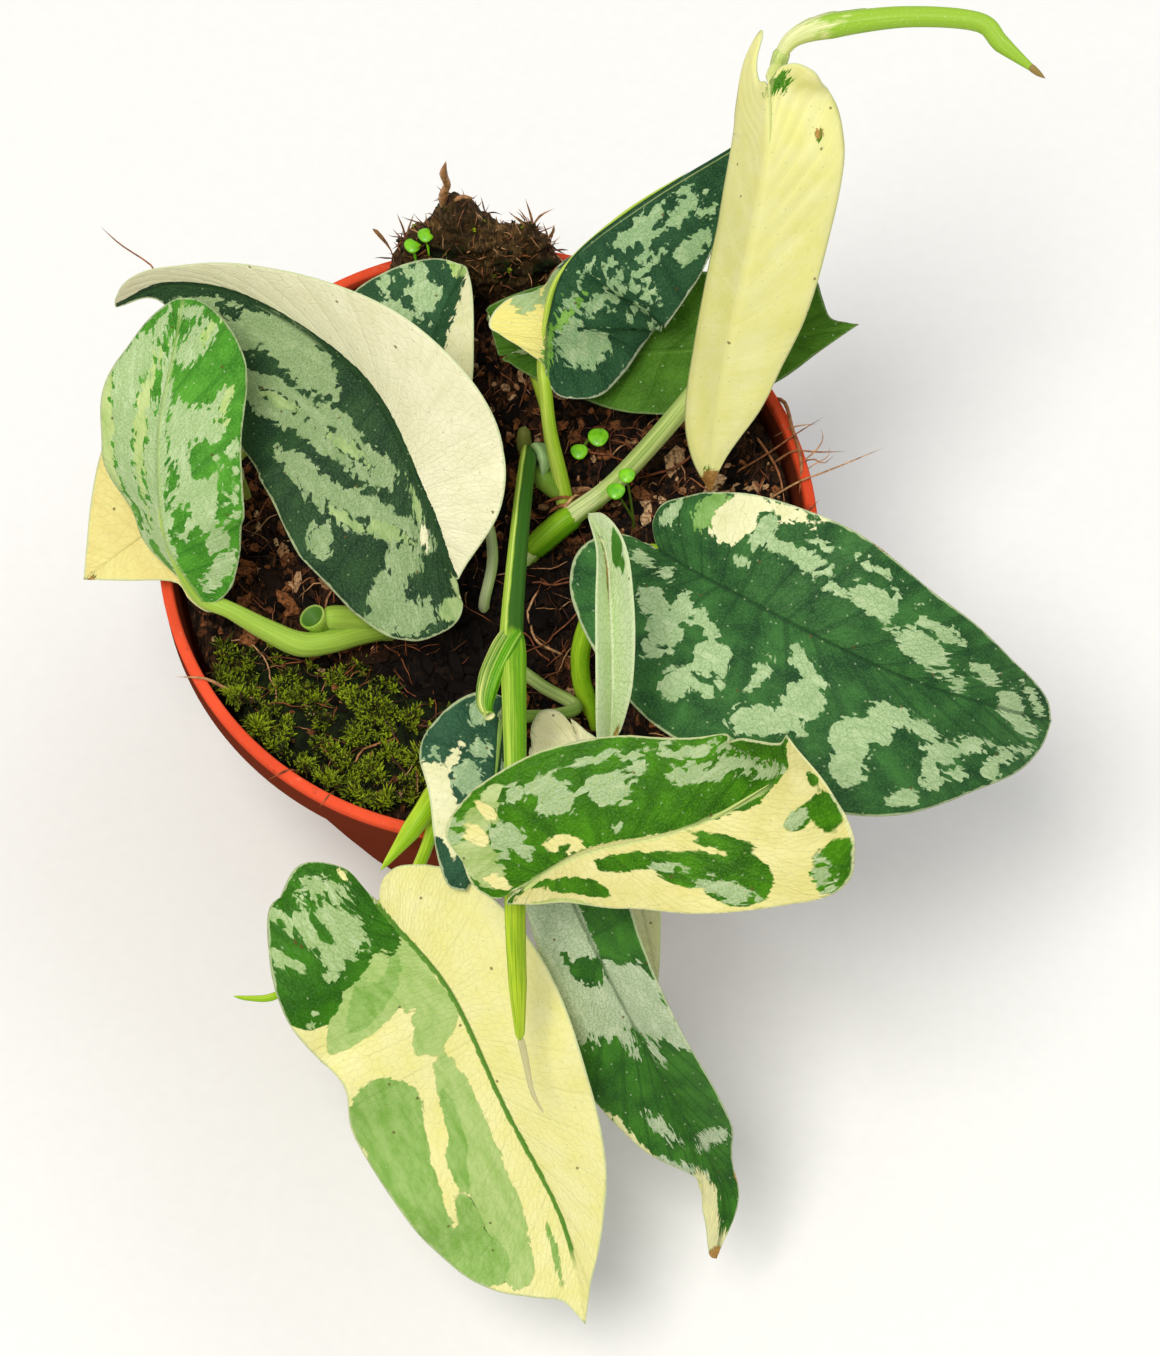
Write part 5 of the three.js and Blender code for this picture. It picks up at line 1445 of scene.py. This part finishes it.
def soil_height(x, y):
    waves = np.sin(x / 6.1 + 1) * np.cos(y / 7.3) + 0.6 * np.sin(x / 3.7 - y / 4.9)
    rise = SOIL_RISE * smoothstep(y + x / 2, 15, 60)
    return SOIL_LEVEL + rise + SOIL_RELIEF * waves


def crumble(x, y):
    """Fine relief of the surface, in millimetres."""
    coarse = noise.fractal(Vector((x, y, 3)) / 4.0, 1.0, 2.0, 3)
    return 1.5 * coarse + 0.6 * noise.noise(Vector((x, y, 9)) / 1.1)


def wall_inside(z):
    return wall_radius(z) - WALL - 3 * GAP


print("mix level in mm:", SOIL_LEVEL, "to", SOIL_LEVEL + SOIL_RISE)

# %% Soil body
# Along a row of the grid: the top's share, and within the rest how far down the side reaches.
SOIL_RINGS, SOIL_SPOKES = 110, 300
TOP_SHARE, SIDE_SHARE, DROP_SHARE = 0.9, 0.85, 0.8

mesh = bmesh.new()
bmesh.ops.create_grid(mesh, x_segments=SOIL_RINGS, y_segments=SOIL_SPOKES, size=1)
edge = wall_inside(SOIL_EDGE)
for point in mesh.verts:
    share, turn = (point.co.x + 1) / 2, point.co.y * math.pi
    out = min(share / TOP_SHARE, 1) * edge
    x, y = out * math.cos(turn), out * math.sin(turn)
    z = float(soil_height(x, y)) + crumble(x, y) * min(1, (edge - out) / 4 + 0.2)
    z += MOSS_LIFT * float(moss_share(x, y))
    if share > TOP_SHARE + TINY:
        down = (share - TOP_SHARE) / (1 - TOP_SHARE)
        z = z + (FLOOR + GAP - z) * min(down / DROP_SHARE, 1)
        out = wall_inside(z) if down < SIDE_SHARE else wall_inside(FLOOR) * (1 - down) / (1 - SIDE_SHARE)
        out = min(out, edge)
        x, y = out * math.cos(turn), out * math.sin(turn)
    point.co = Vector((x, y, z)) * MM
close_seams(mesh)
print("soil faces:", len(mesh.faces))


# %% Soil finish
def earth_finish(name, darkest, brown, red):
    """Wet coir and bark: nearly black in the gaps, partly its own dark colour and partly painted shade;
    reddish brown on the crumbs; green where moss grows, over a near-black mat that is partly painted shade.
    """
    material, tree, shader = new_material(name, 0.8, Specular_IOR_Level=0.15)
    place = add_node(tree, "TexCoord").outputs["Object"]
    crumbs = blotches(tree, place, (0.0016, 0.0016, 0.0016), detail=6.0)
    patches = blotches(tree, place, (0.012, 0.012, 0.012), detail=4.0)
    fibre = blotches(tree, place, (0.0006, 0.004, 0.002), detail=4.0)
    damp_and_shade = add_node(tree, "MapRange", None, {0: patches, 1: 0.4, 2: 0.65, 3: 0.7, 4: 0})
    crown_shade, green = (
        add_node(tree, "Attribute", {"attribute_name": key}).outputs["Fac"] for key in ("crown_shade", "moss")
    )
    # painted shade: under the crown the mix is darkened like its darker patches
    damp_and_shade = add_node(tree, "Math", {"operation": "MAXIMUM"}, {0: damp_and_shade, 1: crown_shade})
    lumps = add_node(tree, "Math", SCALED_SUM, {0: crumbs, 1: 0.8, 2: -0.4})
    mossy = add_node(tree, "Math", SUM, {0: green, 1: lumps})
    # partly painted shade: the mat under the moss shoots is a near-black green
    turf = lay_over(tree, "#0a0f03", [(crumbs, 0.42, 0.7, 0, 1, "#1f2c06")])
    # partly painted shade: between the crumbs the mix is nearly black
    earth = lay_over(tree, darkest, [
        (crumbs, 0.42, 0.7, 0, 1, brown),
        (fibre, 0.55, 0.7, 0, 0.7, red),
        (damp_and_shade, 0, 1, 0, 1, darkest),
        (mossy, 0.4, 0.6, 0, 1, turf),
    ])
    finish_surface(tree, shader, earth, crumbs, 0.8, 1.0)
    return material


# Moss grows only above the mix's side. Under the crown the mix takes this share of the darkest tone, as
# painted shade.
SIDE_TOP, CROWN_SHADE_DEPTH = 80, 0.85
moss_on_soil = [float(moss_share(p.co.x / MM, p.co.y / MM)) * (p.co.z > SIDE_TOP * MM) for p in mesh.verts]
crown_shade_on_soil = [CROWN_SHADE_DEPTH * float(crown_shade_share(p.co.x / MM, p.co.y / MM)) for p in mesh.verts]
store_numbers(mesh, {"moss": moss_on_soil, "crown_shade": crown_shade_on_soil})
mix_finish = earth_finish("damp coir and bark mix", "#080503", "#54351e", "#96603a")
soil = new_piece("potting_mix", mesh, [mix_finish], ["soil"])
print("soil points:", len(soil.data.vertices))

# %% [markdown]
# ## Crumbs, bark and roots
# Loose stuff could be scattered by particles or instances, but then it isn't part of the model's own mesh.
# So each crumb is a small dented icosahedron, added to one common mesh and turned at random; each root is a
# thin tube, as on the stems. A number for each crumb, kept on its points, gives each its own shade.

# %% Crumbs and bark chips
RANDOM = np.random.default_rng(11)
CRUMBS, CHIPS = 2300, 560
CRUMB_CIRCLE = 68.5
BARE_OF_MOSS = 0.4
# painted shade: how much darker the crumbs under the crown get
CROWN_SHADE_DARKENING = 0.6
DENT = 0.16


def soil_top(x, y):
    return float(soil_height(x, y)) + crumble(x, y) + MOSS_LIFT * float(moss_share(x, y))


def random_spot(radius):
    out, turn = radius * math.sqrt(RANDOM.random()), 2 * math.pi * RANDOM.random()
    return out * math.cos(turn), out * math.sin(turn)


def add_crumb(mesh, layers, crumb):
    """A dented icosahedron of the given half sizes."""
    place, size, tilt = crumb
    turn = Euler((RANDOM.normal(0, tilt), RANDOM.normal(0, tilt), RANDOM.uniform(0, 2 * math.pi)))
    stand = Matrix.LocRotScale(Vector(place) * MM, turn, Vector(size) * MM)
    made = bmesh.ops.create_icosphere(mesh, subdivisions=1, radius=1, matrix=stand)["verts"]
    # painted shade: a crumb under the crown gets a darker tone
    shade = RANDOM.random() * (1 - CROWN_SHADE_DARKENING * float(crown_shade_share(place[0], place[1])))
    for point in made:
        point.co += Vector(RANDOM.normal(0, DENT, 3)) * size[1] * MM
        point[layers["shade"]] = shade


loose = []
for _ in range(CRUMBS):
    x, y = random_spot(CRUMB_CIRCLE)
    if moss_share(x, y) < BARE_OF_MOSS or RANDOM.random() < 0.2:
        size = RANDOM.uniform(0.45, 1.6) * np.array([1, RANDOM.uniform(0.5, 0.9), RANDOM.uniform(0.4, 0.8)])
        loose.append(((x, y, soil_top(x, y) + 0.15 * size[0]), size, 0.5))
for _ in range(CHIPS):
    x, y = random_spot(CRUMB_CIRCLE - 3)
    if moss_share(x, y) < BARE_OF_MOSS:
        size = RANDOM.uniform(1.4, 5) * np.array([1, RANDOM.uniform(0.3, 0.6), RANDOM.uniform(0.14, 0.25)])
        loose.append(((x, y, soil_top(x, y) + 0.2), size, 0.3))


def loose_piece(name, items, add, keys, skin):
    """One piece of many small shapes that lie on a solid without standing for it."""
    mesh = in_batches(items, add, keys)
    if add == add_fibre:
        close_seams(mesh)
    piece = new_piece(name, mesh, [skin], [])
    print(piece.name, "faces:", len(piece.data.polygons))
    return piece


def crumb_finish(name, tones):
    """Dry bark: each crumb has its own brown, with darker grime in the grain."""
    material, tree, shader = new_material(name, 0.75, Specular_IOR_Level=0.12)
    shade = add_node(tree, "Attribute", {"attribute_name": "shade"}).outputs["Fac"]
    place = add_node(tree, "TexCoord").outputs["Object"]
    grain = blotches(tree, place, (0.0008, 0.0008, 0.0008), detail=5.0)
    bark = lay_over(tree, tones[0], [
        (shade, 0.4, 0.8, 0, 1, tones[1]),
        (shade, 0.86, 0.98, 0, 1, tones[2]),
        (grain, 0.38, 0.56, 0.8, 0, tones[0]),
    ])
    finish_surface(tree, shader, bark, grain, 0.3, 0.8)
    return material


bark_finish = crumb_finish("bark crumbs", ("#0c0604", "#935c36", "#d8b084"))
crumbs = loose_piece("bark_crumbs", loose, add_crumb, ["shade"], bark_finish)
crumbs.data.shade_flat()

# %% Roots and coir fibres on the mix
FIBRE_CIRCLE = 66


def wander(start, heading, length, bend, steps):
    """Flat places of a line that keeps turning a little."""
    spots, x, y = [], *start
    for _ in range(steps):
        spots.append((x, y))
        heading += RANDOM.normal(0, bend)
        x += math.cos(heading) * length / steps
        y += math.sin(heading) * length / steps
    return spots


def arched(spots, lift, radius, sides):
    """A root that leaves the mix, arches up by the lift and goes in again."""
    route = []
    for i, (x, y) in enumerate(spots):
        share = i / (len(spots) - 1)
        shrink = min(1, FIBRE_CIRCLE / max(TINY, math.hypot(x, y)))
        x, y = x * shrink, y * shrink
        arch = lift * math.sin(math.pi * share) - 0.2
        route.append([x, y, soil_top(x, y) + arch, radius * (1 - 0.4 * share)])
    return route, sides, RANDOM.random()


def fibre_finish(name, dark, red, light):
    """Dry root and coir: from dark to straw, strand by strand, and soiled here and there."""
    material, tree, shader = new_material(name, 0.55, Specular_IOR_Level=0.3)
    tint = add_node(tree, "Attribute", {"attribute_name": "tint"}).outputs["Fac"]
    place = add_node(tree, "TexCoord").outputs["Object"]
    grain = blotches(tree, place, (0.0015, 0.0015, 0.0015))
    root = lay_over(tree, dark, [
        (tint, 0.1, 0.6, 0, 1, red),
        (tint, 0.75, 1, 0, 1, light),
        (grain, 0.35, 0.6, 0.7, 0, dark),
    ])
    finish_surface(tree, shader, root, grain, 0.1, 0.5)
    return material


# Coir fibres, then thin roots: how many, and the ranges of their sizes in millimetres.
STRANDS = [
    dict(count=620, length=(5, 17), lift=(0.4, 2.4), radius=(0.12, 0.26), bend=0.25, steps=8, sides=4),
    dict(count=46, length=(16, 34), lift=(0.8, 2.6), radius=(0.22, 0.42), bend=0.3, steps=12, sides=6),
]
fibres = []
for kind in STRANDS:
    for _ in range(kind["count"]):
        start, heading = random_spot(FIBRE_CIRCLE), RANDOM.uniform(0, 2 * math.pi)
        spots = wander(start, heading, RANDOM.uniform(*kind["length"]), kind["bend"], kind["steps"])
        lift, radius = RANDOM.uniform(*kind["lift"]), RANDOM.uniform(*kind["radius"])
        fibres.append(arched(spots, lift, radius, kind["sides"]))
root_finish = fibre_finish("coir fibres and thin roots", "#33190e", "#9c5930", "#d8a674")
loose_piece("thin_roots", fibres, add_fibre, TUBE_KEYS, root_finish)

# %% Roots over the rim
# Routes of the longer roots that cross the rim, in millimetres, with their radii.
RIM_ROOTS = [
    [[53, 17, 97, 0.25], [58, 18.5, 100, 0.28], [64, 21, 103, 0.25], [70, 24, 106.4, 0.2],
    [77, 28, 108, 0.08]],
    [[61, 11.4, 94, 0.25], [66, 12, 100, 0.25], [71, 12.6, 105.4, 0.25], [76, 14.2, 106.4, 0.22],
    [83, 17, 107, 0.16],
        [90.4, 20, 108, 0.08]],
    [[61.5, 19.4, 95, 0.3], [66, 20, 101, 0.3], [70, 20.3, 105.6, 0.25], [75, 19.6, 106.4, 0.2],
    [82, 19.4, 107, 0.08]],
    [[65, 26, 101, 0.25], [70, 26.3, 106, 0.2], [75.5, 26.8, 106.6, 0.08]],
    [[56.7, 13.6, 97, 0.4], [59.6, 14.9, 99.8, 0.45], [63, 13.8, 99.8, 0.4], [67, 12.4, 97.6, 0.3]],
    [[62, 37, 99, 0.3], [67.6, 33.5, 105.2, 0.5], [69.6, 26, 105.6, 0.5], [71.4, 18, 105.5, 0.45],
        [71, 10, 103, 0.3]],
    [[69, 17, 101, 0.25], [73.5, 18, 106, 0.2], [76.5, 16.6, 106.6, 0.15], [79, 18.6, 107, 0.08]],
    [[69, 18, 101, 0.2], [73.9, 19.2, 106, 0.2], [76.4, 22.4, 107, 0.15], [75.8, 25, 108.5, 0.08]],
    [[70, 15, 101, 0.2], [74, 16.4, 106, 0.15], [77.5, 18.4, 106.4, 0.12], [78, 21, 107, 0.08]],
    [[60, 30, 98, 0.35], [63, 24, 101, 0.35], [66.5, 17, 101, 0.3], [68, 9, 99, 0.2]],
    [[71, 4, 101, 0.25], [73.2, 5.5, 105.6, 0.2], [75.6, 8, 105.6, 0.08]],
    [[-50, -39, 97.6, 0.5], [-57, -37.4, 99.5, 0.55], [-62.6, -36.6, 105.2, 0.35],
    [-69.5, -36.6, 106.4, 0.1]],
    [[-40, -57, 98, 0.3], [-43.5, -58.4, 104.8, 0.3], [-48.5, -61.6, 105.8, 0.08]],
    [[-33, -60, 98, 0.2], [-34.5, -64.6, 105.2, 0.2], [-36.6, -67.4, 104.6, 0.08]],
    [[-89, 66.5, 128, 0.1], [-84, 61.6, 128, 0.18], [-76.5, 56, 127.6, 0.22], [-77.2, 52.3, 128, 0.2]],
    [[13, 7, 99, 0.4], [15.5, 7.4, 102.6, 0.5], [19, 7.6, 103, 0.45], [22, 6, 100, 0.2]],
    [[12, 9, 101, 0.3], [14.4, 8.6, 104, 0.4], [17.6, 8.8, 105, 0.4], [21, 9.4, 102, 0.2]],
    [[16, 4, 98, 0.4], [17.4, 7, 103.4, 0.5], [19.6, 9.4, 104.4, 0.3], [21.4, 11, 101, 0.15]],
]
fibres = [(route, 6, 0.7 + 0.3 * RANDOM.random()) for route in RIM_ROOTS]
loose_piece("rim_roots", fibres, add_fibre, TUBE_KEYS, root_finish)

# %% [markdown]
# ## Moss
# Moss grows where the mix stays wet, in low cushions at the front left. One shoot is a tiny star of pointed
# leaves; from a hand's breadth it reads as a pile of small bright tips over a dark green mat. So each shoot
# is a handful of three-sided cones that lean outward, and each shoot has its own shade of green.

# %% Moss shoots
SHOOTS = 2300
MOSS_CLIMB = 4.0
SHOOT_LEAVES, SHOOT_LEAN = 5, 0.55


def add_shoot(mesh, layers, shoot):
    place, height, outward = shoot
    shade = RANDOM.random()
    lean = outward.to_track_quat("Z", "Y")
    for _ in range(SHOOT_LEAVES):
        turn = Euler((RANDOM.normal(0, SHOOT_LEAN), RANDOM.normal(0, SHOOT_LEAN), RANDOM.uniform(0, 6.3)))
        turn = lean @ turn.to_quaternion()
        tall = height * RANDOM.uniform(0.7, 1.3)
        middle = Vector(place) * MM + turn @ Vector((0, 0, tall * MM / 2))
        stand = Matrix.LocRotScale(middle, turn, None)
        made = bmesh.ops.create_cone(mesh, cap_ends=True, segments=3, radius1=0.7 * MM, radius2=0.04 * MM,
            depth=tall * MM, matrix=stand)["verts"]
        for point in made:
            point[layers["shade"]] = shade
            point[layers["tip"]] = float((point.co - middle).dot(turn @ UP) > 0)


def moss_finish(name):
    """Moss: nearly black at the foot of a shoot, partly its own old stems and partly painted shade deep in
    the cushion, fresh yellow-green at its tips, with some dry ones.
    """
    material, tree, shader = new_material(name, 0.6, Specular_IOR_Level=0.2)
    shade = add_node(tree, "Attribute", {"attribute_name": "shade"}).outputs["Fac"]
    place = add_node(tree, "TexCoord").outputs["Object"]
    patches = blotches(tree, place, (0.006, 0.006, 0.006))
    grain = blotches(tree, place, (0.0007, 0.0007, 0.0007))
    tip = add_node(tree, "Attribute", {"attribute_name": "tip"}).outputs["Fac"]
    fresh = add_node(tree, "Math", SCALED_SUM, {0: patches, 1: 1.4, 2: shade})
    green = lay_over(tree, "#101d03", [(fresh, 0.95, 1.95, 0, 1, "#bcd424")])
    # partly painted shade: the foot of each shoot is nearly black
    green = lay_over(tree, "#070b02", [(tip, 0, 1, 0, 1, green), (shade, 0, 0.16, 0.8, 0, "#4a3516")])
    finish_surface(tree, shader, green, grain, 0.1, 0.5)
    return material


shoots = []
while len(shoots) < SHOOTS:
    x = MOSS_CENTRE[0] + MOSS_HALF[0] * RANDOM.uniform(-1.3, 1.3)
    y = MOSS_CENTRE[1] + MOSS_HALF[1] * RANDOM.uniform(-1.3, 1.3)
    patchy = 0.42 + 1.7 * noise.noise(Vector((x, y, 5)) / 4.4)
    out = math.hypot(x, y)
    near_wall = float(smoothstep(out, FIBRE_CIRCLE - 3, FIBRE_CIRCLE + 4))
    patchy += 0.35 * near_wall
    if out < FIBRE_CIRCLE + 4 and moss_share(x, y) * patchy > RANDOM.uniform(0.15, 0.7):
        foot = soil_top(x, y) - 0.2 + MOSS_CLIMB * near_wall
        shoots.append(((x, y, foot), RANDOM.uniform(0.9, 1.8) + 1.6 * max(0, patchy - 0.4), UP))
moss_skin = moss_finish("cushion moss")
loose_piece("cushion_moss", shoots, add_shoot, ["shade", "tip"], moss_skin)

# %% [markdown]
# ## The clump over the rim
# A lump of coir hangs over the back of the rim, with moss on it, stiff fibres that stand out and a few
# seedlings. It's a ball of many points, pushed out to two humps and roughened.

# %% Clump
CLUMP_CENTRE, CLUMP_HALF = (-4, 69, 107), (19, 6.5, 21)
CLUMP_CLEAR = 0.7
CLUMP_ROUGH = 2.2
GROWTH_FROM = 100
# The outline of its top, left to right: x and height.
CLUMP_CREST = [(-25, 105), (-20, 115), (-14, 125), (-10, 134), (-8, 136), (-4, 131), (-1, 126), (2, 121),
    (6.5, 122.5), (9.5, 125), (12.5, 120), (15, 113), (18, 106)]

mesh = bmesh.new()
bmesh.ops.create_icosphere(mesh, subdivisions=6, radius=1)
for point in mesh.verts:
    way = point.co.normalized()
    spot = Vector(CLUMP_CENTRE) + Vector([w * h for w, h in zip(way, CLUMP_HALF)])
    if spot.z > CLUMP_CENTRE[2]:
        crest = np.interp(spot.x, *zip(*CLUMP_CREST))
        plain = CLUMP_HALF[2] * math.sqrt(max(1e-4, 1 - ((spot.x - CLUMP_CENTRE[0]) / CLUMP_HALF[0]) ** 2))
        spot.z += (spot.z - CLUMP_CENTRE[2]) * ((crest - CLUMP_CENTRE[2]) / plain - 1)
    rough = noise.fractal(spot / 5.0, 0.9, 2.0, 5)
    spot += way * CLUMP_ROUGH * rough
    limit = wall_radius(min(spot.z, LIP_FOOT)) - WALL - CLUMP_CLEAR + max(0, spot.z - CLUMP_CENTRE[2])
    out = math.hypot(spot.x, spot.y)
    if out > limit:
        spot.x, spot.y = spot.x * limit / out, spot.y * limit / out
    point.co = spot * MM
clump_top = [point.co.copy() for point in mesh.verts if point.co.z > GROWTH_FROM * MM]
bmesh.ops.recalc_face_normals(mesh, faces=mesh.faces)
store_numbers(mesh, {"moss": [float(0.3 + 0.9 * noise.noise(p.co / MM / 9.0)) for p in mesh.verts]})
coir_finish = earth_finish("mossy coir", "#2b1f10", "#7d5f38", "#b38a58")
clump = new_piece("coir_clump", mesh, [coir_finish], ["root_clump"])
print("clump points:", len(clump.data.vertices))

# %% Fibres, roots and moss that stand on the clump
CLUMP_FIBRES, CLUMP_SHOOTS = 420, 80


def free_fibre(start, way, length, radius, bend=0.3, steps=7):
    """A stiff fibre that grows out in one direction."""
    spot, way, route = Vector(start), Vector(way).normalized(), []
    for i in range(steps):
        route.append([*spot, radius * (1 - 0.75 * i / (steps - 1))])
        way = (way + Vector(RANDOM.normal(0, bend / 2, 3))).normalized()
        spot = spot + way * length / (steps - 1)
    return route


# Stiff ends of coir that stand out of the clump.
STUBS = [
    [[-10.4, 69.5, 128, 1.5], [-10.2, 70, 136, 1.1], [-9.2, 70, 140, 0.85], [-9.9, 70, 145, 0.95],
        [-9.1, 70.2, 150, 0.55]],
    [[-8.5, 69, 134, 0.7], [-6, 69, 136.5, 0.6], [-3, 69.5, 135, 0.4]],
    [[10.2, 68.5, 121, 0.4], [9.6, 69, 128, 0.3], [8.3, 70, 134.5, 0.15]],
    [[9.2, 68.5, 122, 0.35], [11.5, 69, 128, 0.3], [15, 70, 130, 0.12]],
    [[12.4, 68, 111, 0.45], [9.5, 69, 121, 0.4], [4.2, 70, 129, 0.15]],
    [[2, 67.5, 113, 0.4], [6, 68.5, 120, 0.35], [10.5, 69, 124, 0.15]],
    [[7.5, 67, 108, 0.35], [8.6, 68.5, 116, 0.3], [10.4, 69.5, 121, 0.15]],
    [[12, 68.5, 116, 0.5], [14.5, 69, 121, 0.4], [14.8, 69.3, 124, 0.2]],
    [[-20.5, 69, 112, 0.3], [-19.8, 69.8, 119, 0.25], [-21.2, 70, 128, 0.2]],
    [[-20, 69, 112, 0.3], [-19.2, 69.8, 119, 0.25], [-17.2, 70, 128, 0.2]],
    [[-22.5, 68.5, 108, 0.25], [-23.5, 69.5, 113, 0.2], [-26, 70, 119, 0.7], [-27.2, 70, 121, 0.3]],
    [[-15.5, 69, 114, 0.3], [-14.6, 69.5, 120, 0.35], [-14, 69.7, 124, 0.2]],
]
fibres = []
for _ in range(CLUMP_FIBRES):
    foot = clump_top[RANDOM.integers(len(clump_top))] / MM
    way = Vector(RANDOM.normal(0, 1, 3)) + 0.35 * (foot - Vector(CLUMP_CENTRE)).normalized()
    route = free_fibre(foot - way.normalized() * 0.8, way, RANDOM.uniform(3, 6), RANDOM.uniform(0.16, 0.36))
    fibres.append((route, 4, RANDOM.random()))
for route in STUBS:
    fibres.append((route, 6, 0.85))
clump_finish = fibre_finish("sunlit coir", "#4a2c18", "#a5693c", "#d9ab78")
loose_piece("clump_fibres", fibres, add_fibre, TUBE_KEYS, clump_finish)

shoots = []
for _ in range(CLUMP_SHOOTS):
    foot = clump_top[RANDOM.integers(len(clump_top))] / MM
    if noise.noise(foot / 9.0) > -0.15:
        shoots.append((foot, RANDOM.uniform(0.6, 1.2), foot - Vector(CLUMP_CENTRE)))
loose_piece("clump_moss", shoots, add_shoot, ["shade", "tip"], moss_skin)

# %% [markdown]
# ## Seedlings
# Tiny round-leaved seedlings have come up in the mix: two round leaves on a thread-like stem. A leaf is a
# thin dome, a ball pressed flat with a raised middle.

# %% Seedlings: stems, and round leaves as a middle and a radius
SEEDLINGS = {
    "seedling_centre": dict(
        stems=[[[24, 27, 91, 0.5], [24, 27, 100.5, 0.5], [25, 25, 103.3, 0.4]],
            [[24, 27, 91, 0.5], [24, 27, 100.5, 0.5], [20.6, 21.5, 102.8, 0.4]]],
        discs=[[25, 25, 103.5, 2.4], [20.6, 21.5, 103, 2.0]],
    ),
    "seedling_right": dict(
        stems=[[[33, 5, 91, 0.3], [33, 5, 100.5, 0.3], [31.4, 10, 113.3, 0.3]],
            [[33, 5, 91, 0.3], [33, 5, 100.5, 0.3], [28.9, 6.6, 112.3, 0.3]]],
        discs=[[31.4, 10, 113.5, 1.9], [28.9, 6.6, 112.5, 2.1]],
    ),
}
BACK_SEEDLINGS = [[-17.8, 66.4, 119.6, 2.0], [-14.6, 66.4, 124.2, 1.9]]
DISC_THICKNESS = 0.8


def add_disc(mesh, centre, radius):
    """A round leaf: a ball pressed flat, its middle domed and its rim a little wavy."""
    made = bmesh.ops.create_uvsphere(mesh, u_segments=24, v_segments=10, radius=1)["verts"]
    for point in made:
        x, y, z = point.co
        dome = 0.25 * (1 - x * x - y * y)
        wavy = 1 + 0.05 * math.sin(3 * math.atan2(y, x))
        place = Vector((x * wavy * radius, y * wavy * radius, (z * 0.5 * DISC_THICKNESS) + dome))
        point.co = (Vector(centre) + place) * MM


def seedling_finish(name):
    """Thin fresh leaves with a faint wax, on darker stems."""
    material, tree, shader = new_material(name, 0.4, Coat_Weight=0.15)
    place = add_node(tree, "TexCoord").outputs["Object"]
    soft = blotches(tree, place, (0.002, 0.002, 0.002))
    stem = add_node(tree, "Attribute", {"attribute_name": "tint"}).outputs["Fac"]
    green = lay_over(tree, "#5fb50c", [(soft, 0.35, 0.65, 0, 1, "#8ddc1c"), (stem, 0, 1, 0, 1, "#3f3418")])
    finish_surface(tree, shader, green, soft, 0.1, 0.3)
    return material


seedling_skin = seedling_finish("seedling green")
for name, plan in SEEDLINGS.items():
    mesh, layers = tube_mesh()
    for stem in plan["stems"]:
        add_tube(mesh, layers, stem, sides=8, step=1.0, tint=0.8)
    close_seams(mesh)
    for x, y, z, radius in plan["discs"]:
        add_disc(mesh, (x, y, z), radius)
    new_piece(name + "_leaves", mesh, [seedling_skin], [name])

mesh, layers = tube_mesh()
for x, y, z, radius in BACK_SEEDLINGS:
    stem = [[x * 0.95, y - 3, z - 6, 0.4], [x * 0.98, y - 1, z - 2, 0.35], [x, y, z, 0.3]]
    add_tube(mesh, layers, stem, sides=8)
close_seams(mesh)
for x, y, z, radius in BACK_SEEDLINGS:
    add_disc(mesh, (x, y, z), radius)
new_piece("clump_seedlings", mesh, [seedling_skin], [])
print("seedlings:", len(SEEDLINGS) + len(BACK_SEEDLINGS))
